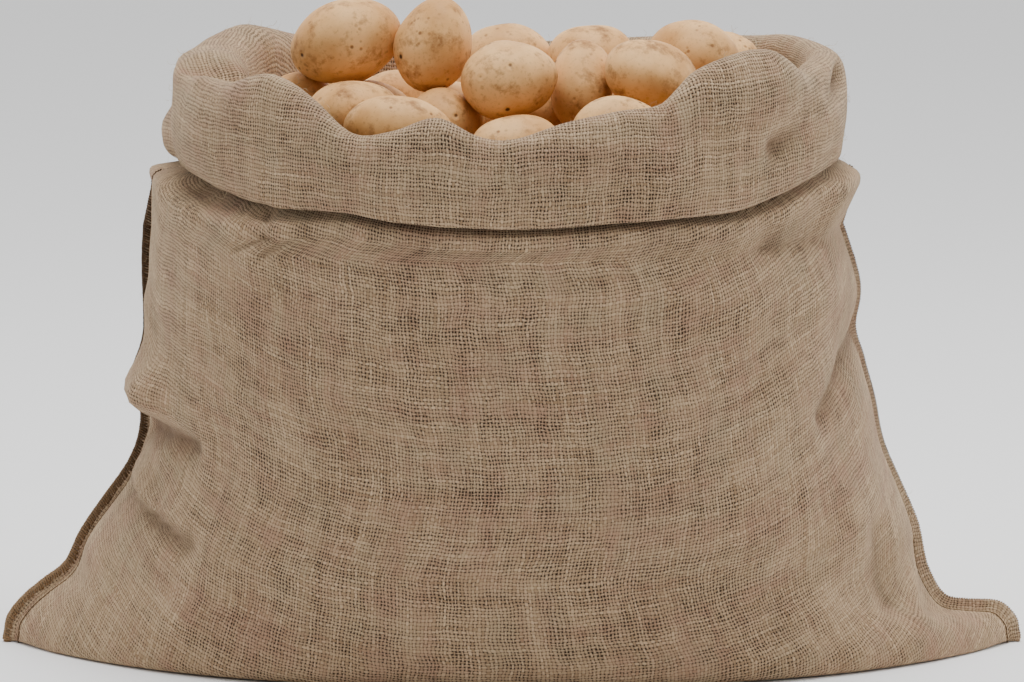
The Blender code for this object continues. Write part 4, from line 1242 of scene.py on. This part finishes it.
def potato_material(name, pale, warm, brown):
    """Dry, washed potato skin: smooth tan with russet smudges, fine netting and dark eyes."""
    material, tree, shader = new_material(name)
    place = add_node(tree, "ShaderNodeTexCoord")["Object"]
    broad, smudge, netting, clusters = [
        add_node(tree, NOISE, {"Vector": place, "Scale": 1 / size, "Detail": detail,
                               "Roughness": roughness})["Fac"]
        for size, detail, roughness in (
            (POTATO_TONE_SIZE, 3.0, 0.55), (SMUDGE_SIZE, 5.0, 0.68), (NETTING_SIZE, 3.0, 0.6),
            (SPECK_CLUSTER_SIZE, 2.0, 0.5))]
    off_eye, has_eye = scattered(tree, place, EYE_PITCH, (0.60, 0.66), 0)
    eye = add_node(tree, RANGE, {0: off_eye, 1: 0.05, 2: 0.13, 3: 1.0, 4: 0.0},
                   interpolation_type="SMOOTHSTEP")[0]
    eye = add_node(tree, MATH, {0: eye, 1: has_eye}, operation="MULTIPLY")[0]
    # a low rim round each eye
    rim = add_node(tree, MATH, {0: off_eye, 1: 0.20}, operation="SUBTRACT")[0]
    rim = add_node(tree, MATH, {0: rim}, operation="ABSOLUTE")[0]
    rim = add_node(tree, RANGE, {0: rim, 1: 0.0, 2: 0.09, 3: 1.0, 4: 0.0})[0]
    rim = add_node(tree, MATH, {0: rim, 1: has_eye}, operation="MULTIPLY")[0]
    off_speck, has_speck = scattered(tree, place, SPECK_PITCH, (0.30, 0.42), 1)
    speck = add_node(tree, RANGE, {0: off_speck, 1: 0.14, 2: 0.32, 3: 1.0, 4: 0.0})[0]
    speck = add_node(tree, MATH, {0: speck, 1: has_speck}, operation="MULTIPLY")[0]
    many = add_node(tree, RANGE, {0: clusters, 1: 0.50, 2: 0.66, 3: 0.04, 4: 1.0})[0]
    speck = add_node(tree, MATH, {0: speck, 1: many}, operation="MULTIPLY")[0]
    skin = coloured(tree, pale, (
        (broad, 0.38, 0.62, 0.0, 1.0, warm),
        (smudge, 0.52, 0.68, 0.0, 0.75, brown),
        (netting, 0.56, 0.72, 0.0, 0.30, brown),
        (speck, 0.0, 1.0, 0.0, 0.85, POTATO_SPECK),
        (eye, 0.0, 1.0, 0.0, 1.0, POTATO_EYE)))
    tree.links.new(skin, shader.inputs["Base Color"])
    level = add_node(tree, MATH, {0: netting, 1: 0.10}, operation="MULTIPLY")[0]
    for value, height in ((smudge, 0.35), (rim, 0.22), (eye, -0.9), (speck, -0.35)):
        level = add_node(tree, MATH, {0: value, 1: height, 2: level}, operation="MULTIPLY_ADD")[0]
    bump = add_node(tree, "ShaderNodeBump", {"Strength": 0.6, "Distance": 0.0012,
                                             "Height": level})[0]
    tree.links.new(bump, shader.inputs["Normal"])
    rough = add_node(tree, RANGE, {0: smudge, 1: 0.3, 2: 0.7, 3: 0.52, 4: 0.72})[0]
    tree.links.new(rough, shader.inputs["Roughness"])
    shader.inputs["Specular IOR Level"].default_value = 0.28
    return material


def floor_material():
    """Painted studio floor, rolled on: pale and matt."""
    material, tree, shader = new_material("studio_floor")
    place = add_node(tree, "ShaderNodeTexCoord")["Object"]
    tone = add_node(tree, NOISE, {"Vector": place, "Scale": 0.6, "Detail": 2.0})["Fac"]
    paint = coloured(tree, "#F4F4F4", [(tone, 0.0, 1.0, 0.0, 1.0, "#F7F7F7")])
    tree.links.new(paint, shader.inputs["Base Color"])
    shader.inputs["Roughness"].default_value = 0.9
    shader.inputs["Specular IOR Level"].default_value = 0.1
    return material


# ---- the studio -----------------------------------------------------------------------------


def add_light(name, place, size, power):
    """A soft square light turned to face the sack."""
    light = bpy.data.lights.new(name, "AREA")
    light.shape = "SQUARE"
    light.size = size
    light.energy = power
    lamp = put_in_scene(name, light)
    lamp.location = place
    aim = Vector((0, 0, 0.2)) - Vector(place)
    lamp.rotation_euler = aim.to_track_quat("-Z", "Y").to_euler()


def make_studio():
    """A pale floor, a room that is brighter at the back, and three soft lights."""
    bm = bmesh.new()
    bmesh.ops.create_circle(bm, cap_ends=True, segments=64, radius=FLOOR_RADIUS)
    mesh = bpy.data.meshes.new("studio_floor")
    bm.to_mesh(mesh)
    bm.free()
    for vert in mesh.vertices:
        vert.co.z = -FLOOR_DROP
    mesh.materials.append(floor_material())
    put_in_scene("studio_floor", mesh)
    world = bpy.data.worlds.new("studio")
    world.use_nodes = True
    tree = world.node_tree
    background = tree.nodes["Background"]
    background.inputs["Color"].default_value = (1, 1, 1, 1)
    way = add_node(tree, "ShaderNodeTexCoord")["Generated"]
    rearward = add_node(tree, "ShaderNodeSeparateXYZ", {0: way})[1]
    strength = add_node(tree, RANGE, {0: rearward, 1: -0.8, 2: 0.8, 3: 0.28, 4: 1.60})[0]
    tree.links.new(strength, background.inputs["Strength"])
    bpy.context.scene.world = world
    add_light("overhead", (0.1, -0.2, 2.3), 1.0, 48)
    add_light("side_left", (-2.0, 0.3, 0.9), 1.2, 6)
    add_light("side_right", (2.0, 0.2, 0.9), 1.2, 12)


def make_camera():
    """The camera, straight in front and a little above."""
    camera = bpy.data.cameras.new("camera")
    camera.sensor_width = SENSOR
    camera.lens = SENSOR * CAMERA_DISTANCE / (PICTURE_WIDTH * PIXEL)
    camera.clip_end = 100.0
    holder = put_in_scene("camera", camera)
    rise = math.radians(CAMERA_HEIGHT_DEGREES)
    holder.location = CAMERA_AIM + Vector((0, -math.cos(rise), math.sin(rise))) * CAMERA_DISTANCE
    holder.rotation_euler = (math.pi / 2 - rise, 0, 0)
    bpy.context.scene.camera = holder


def main():
    """The whole sack, its potatoes, the studio and the camera."""
    sack, outer, edges = make_sack(hessian_material())
    overlock = make_overlock(
        edges, thread_material("overlock_thread", "#40301F", "#5E452F", "#9C7D5B"))
    stitches = make_seam_stitches(outer, thread_material("seam_thread", "#54402C", "#735A40"))
    fibres = make_fibres(sack, thread_material("jute_fibre", "#B39C78", "#D8C5A4"))
    # the filling and its potatoes in darker copies of the potato colours: painted shade down
    # between the potatoes above
    make_hidden_potatoes(potato_material("potato_skin_below", "#B0804C", "#A06C38", "#704824"))
    make_potatoes(potato_material("potato_skin", "#E9B87A", "#C99457", "#7F522C"))
    make_studio()
    make_camera()


main()
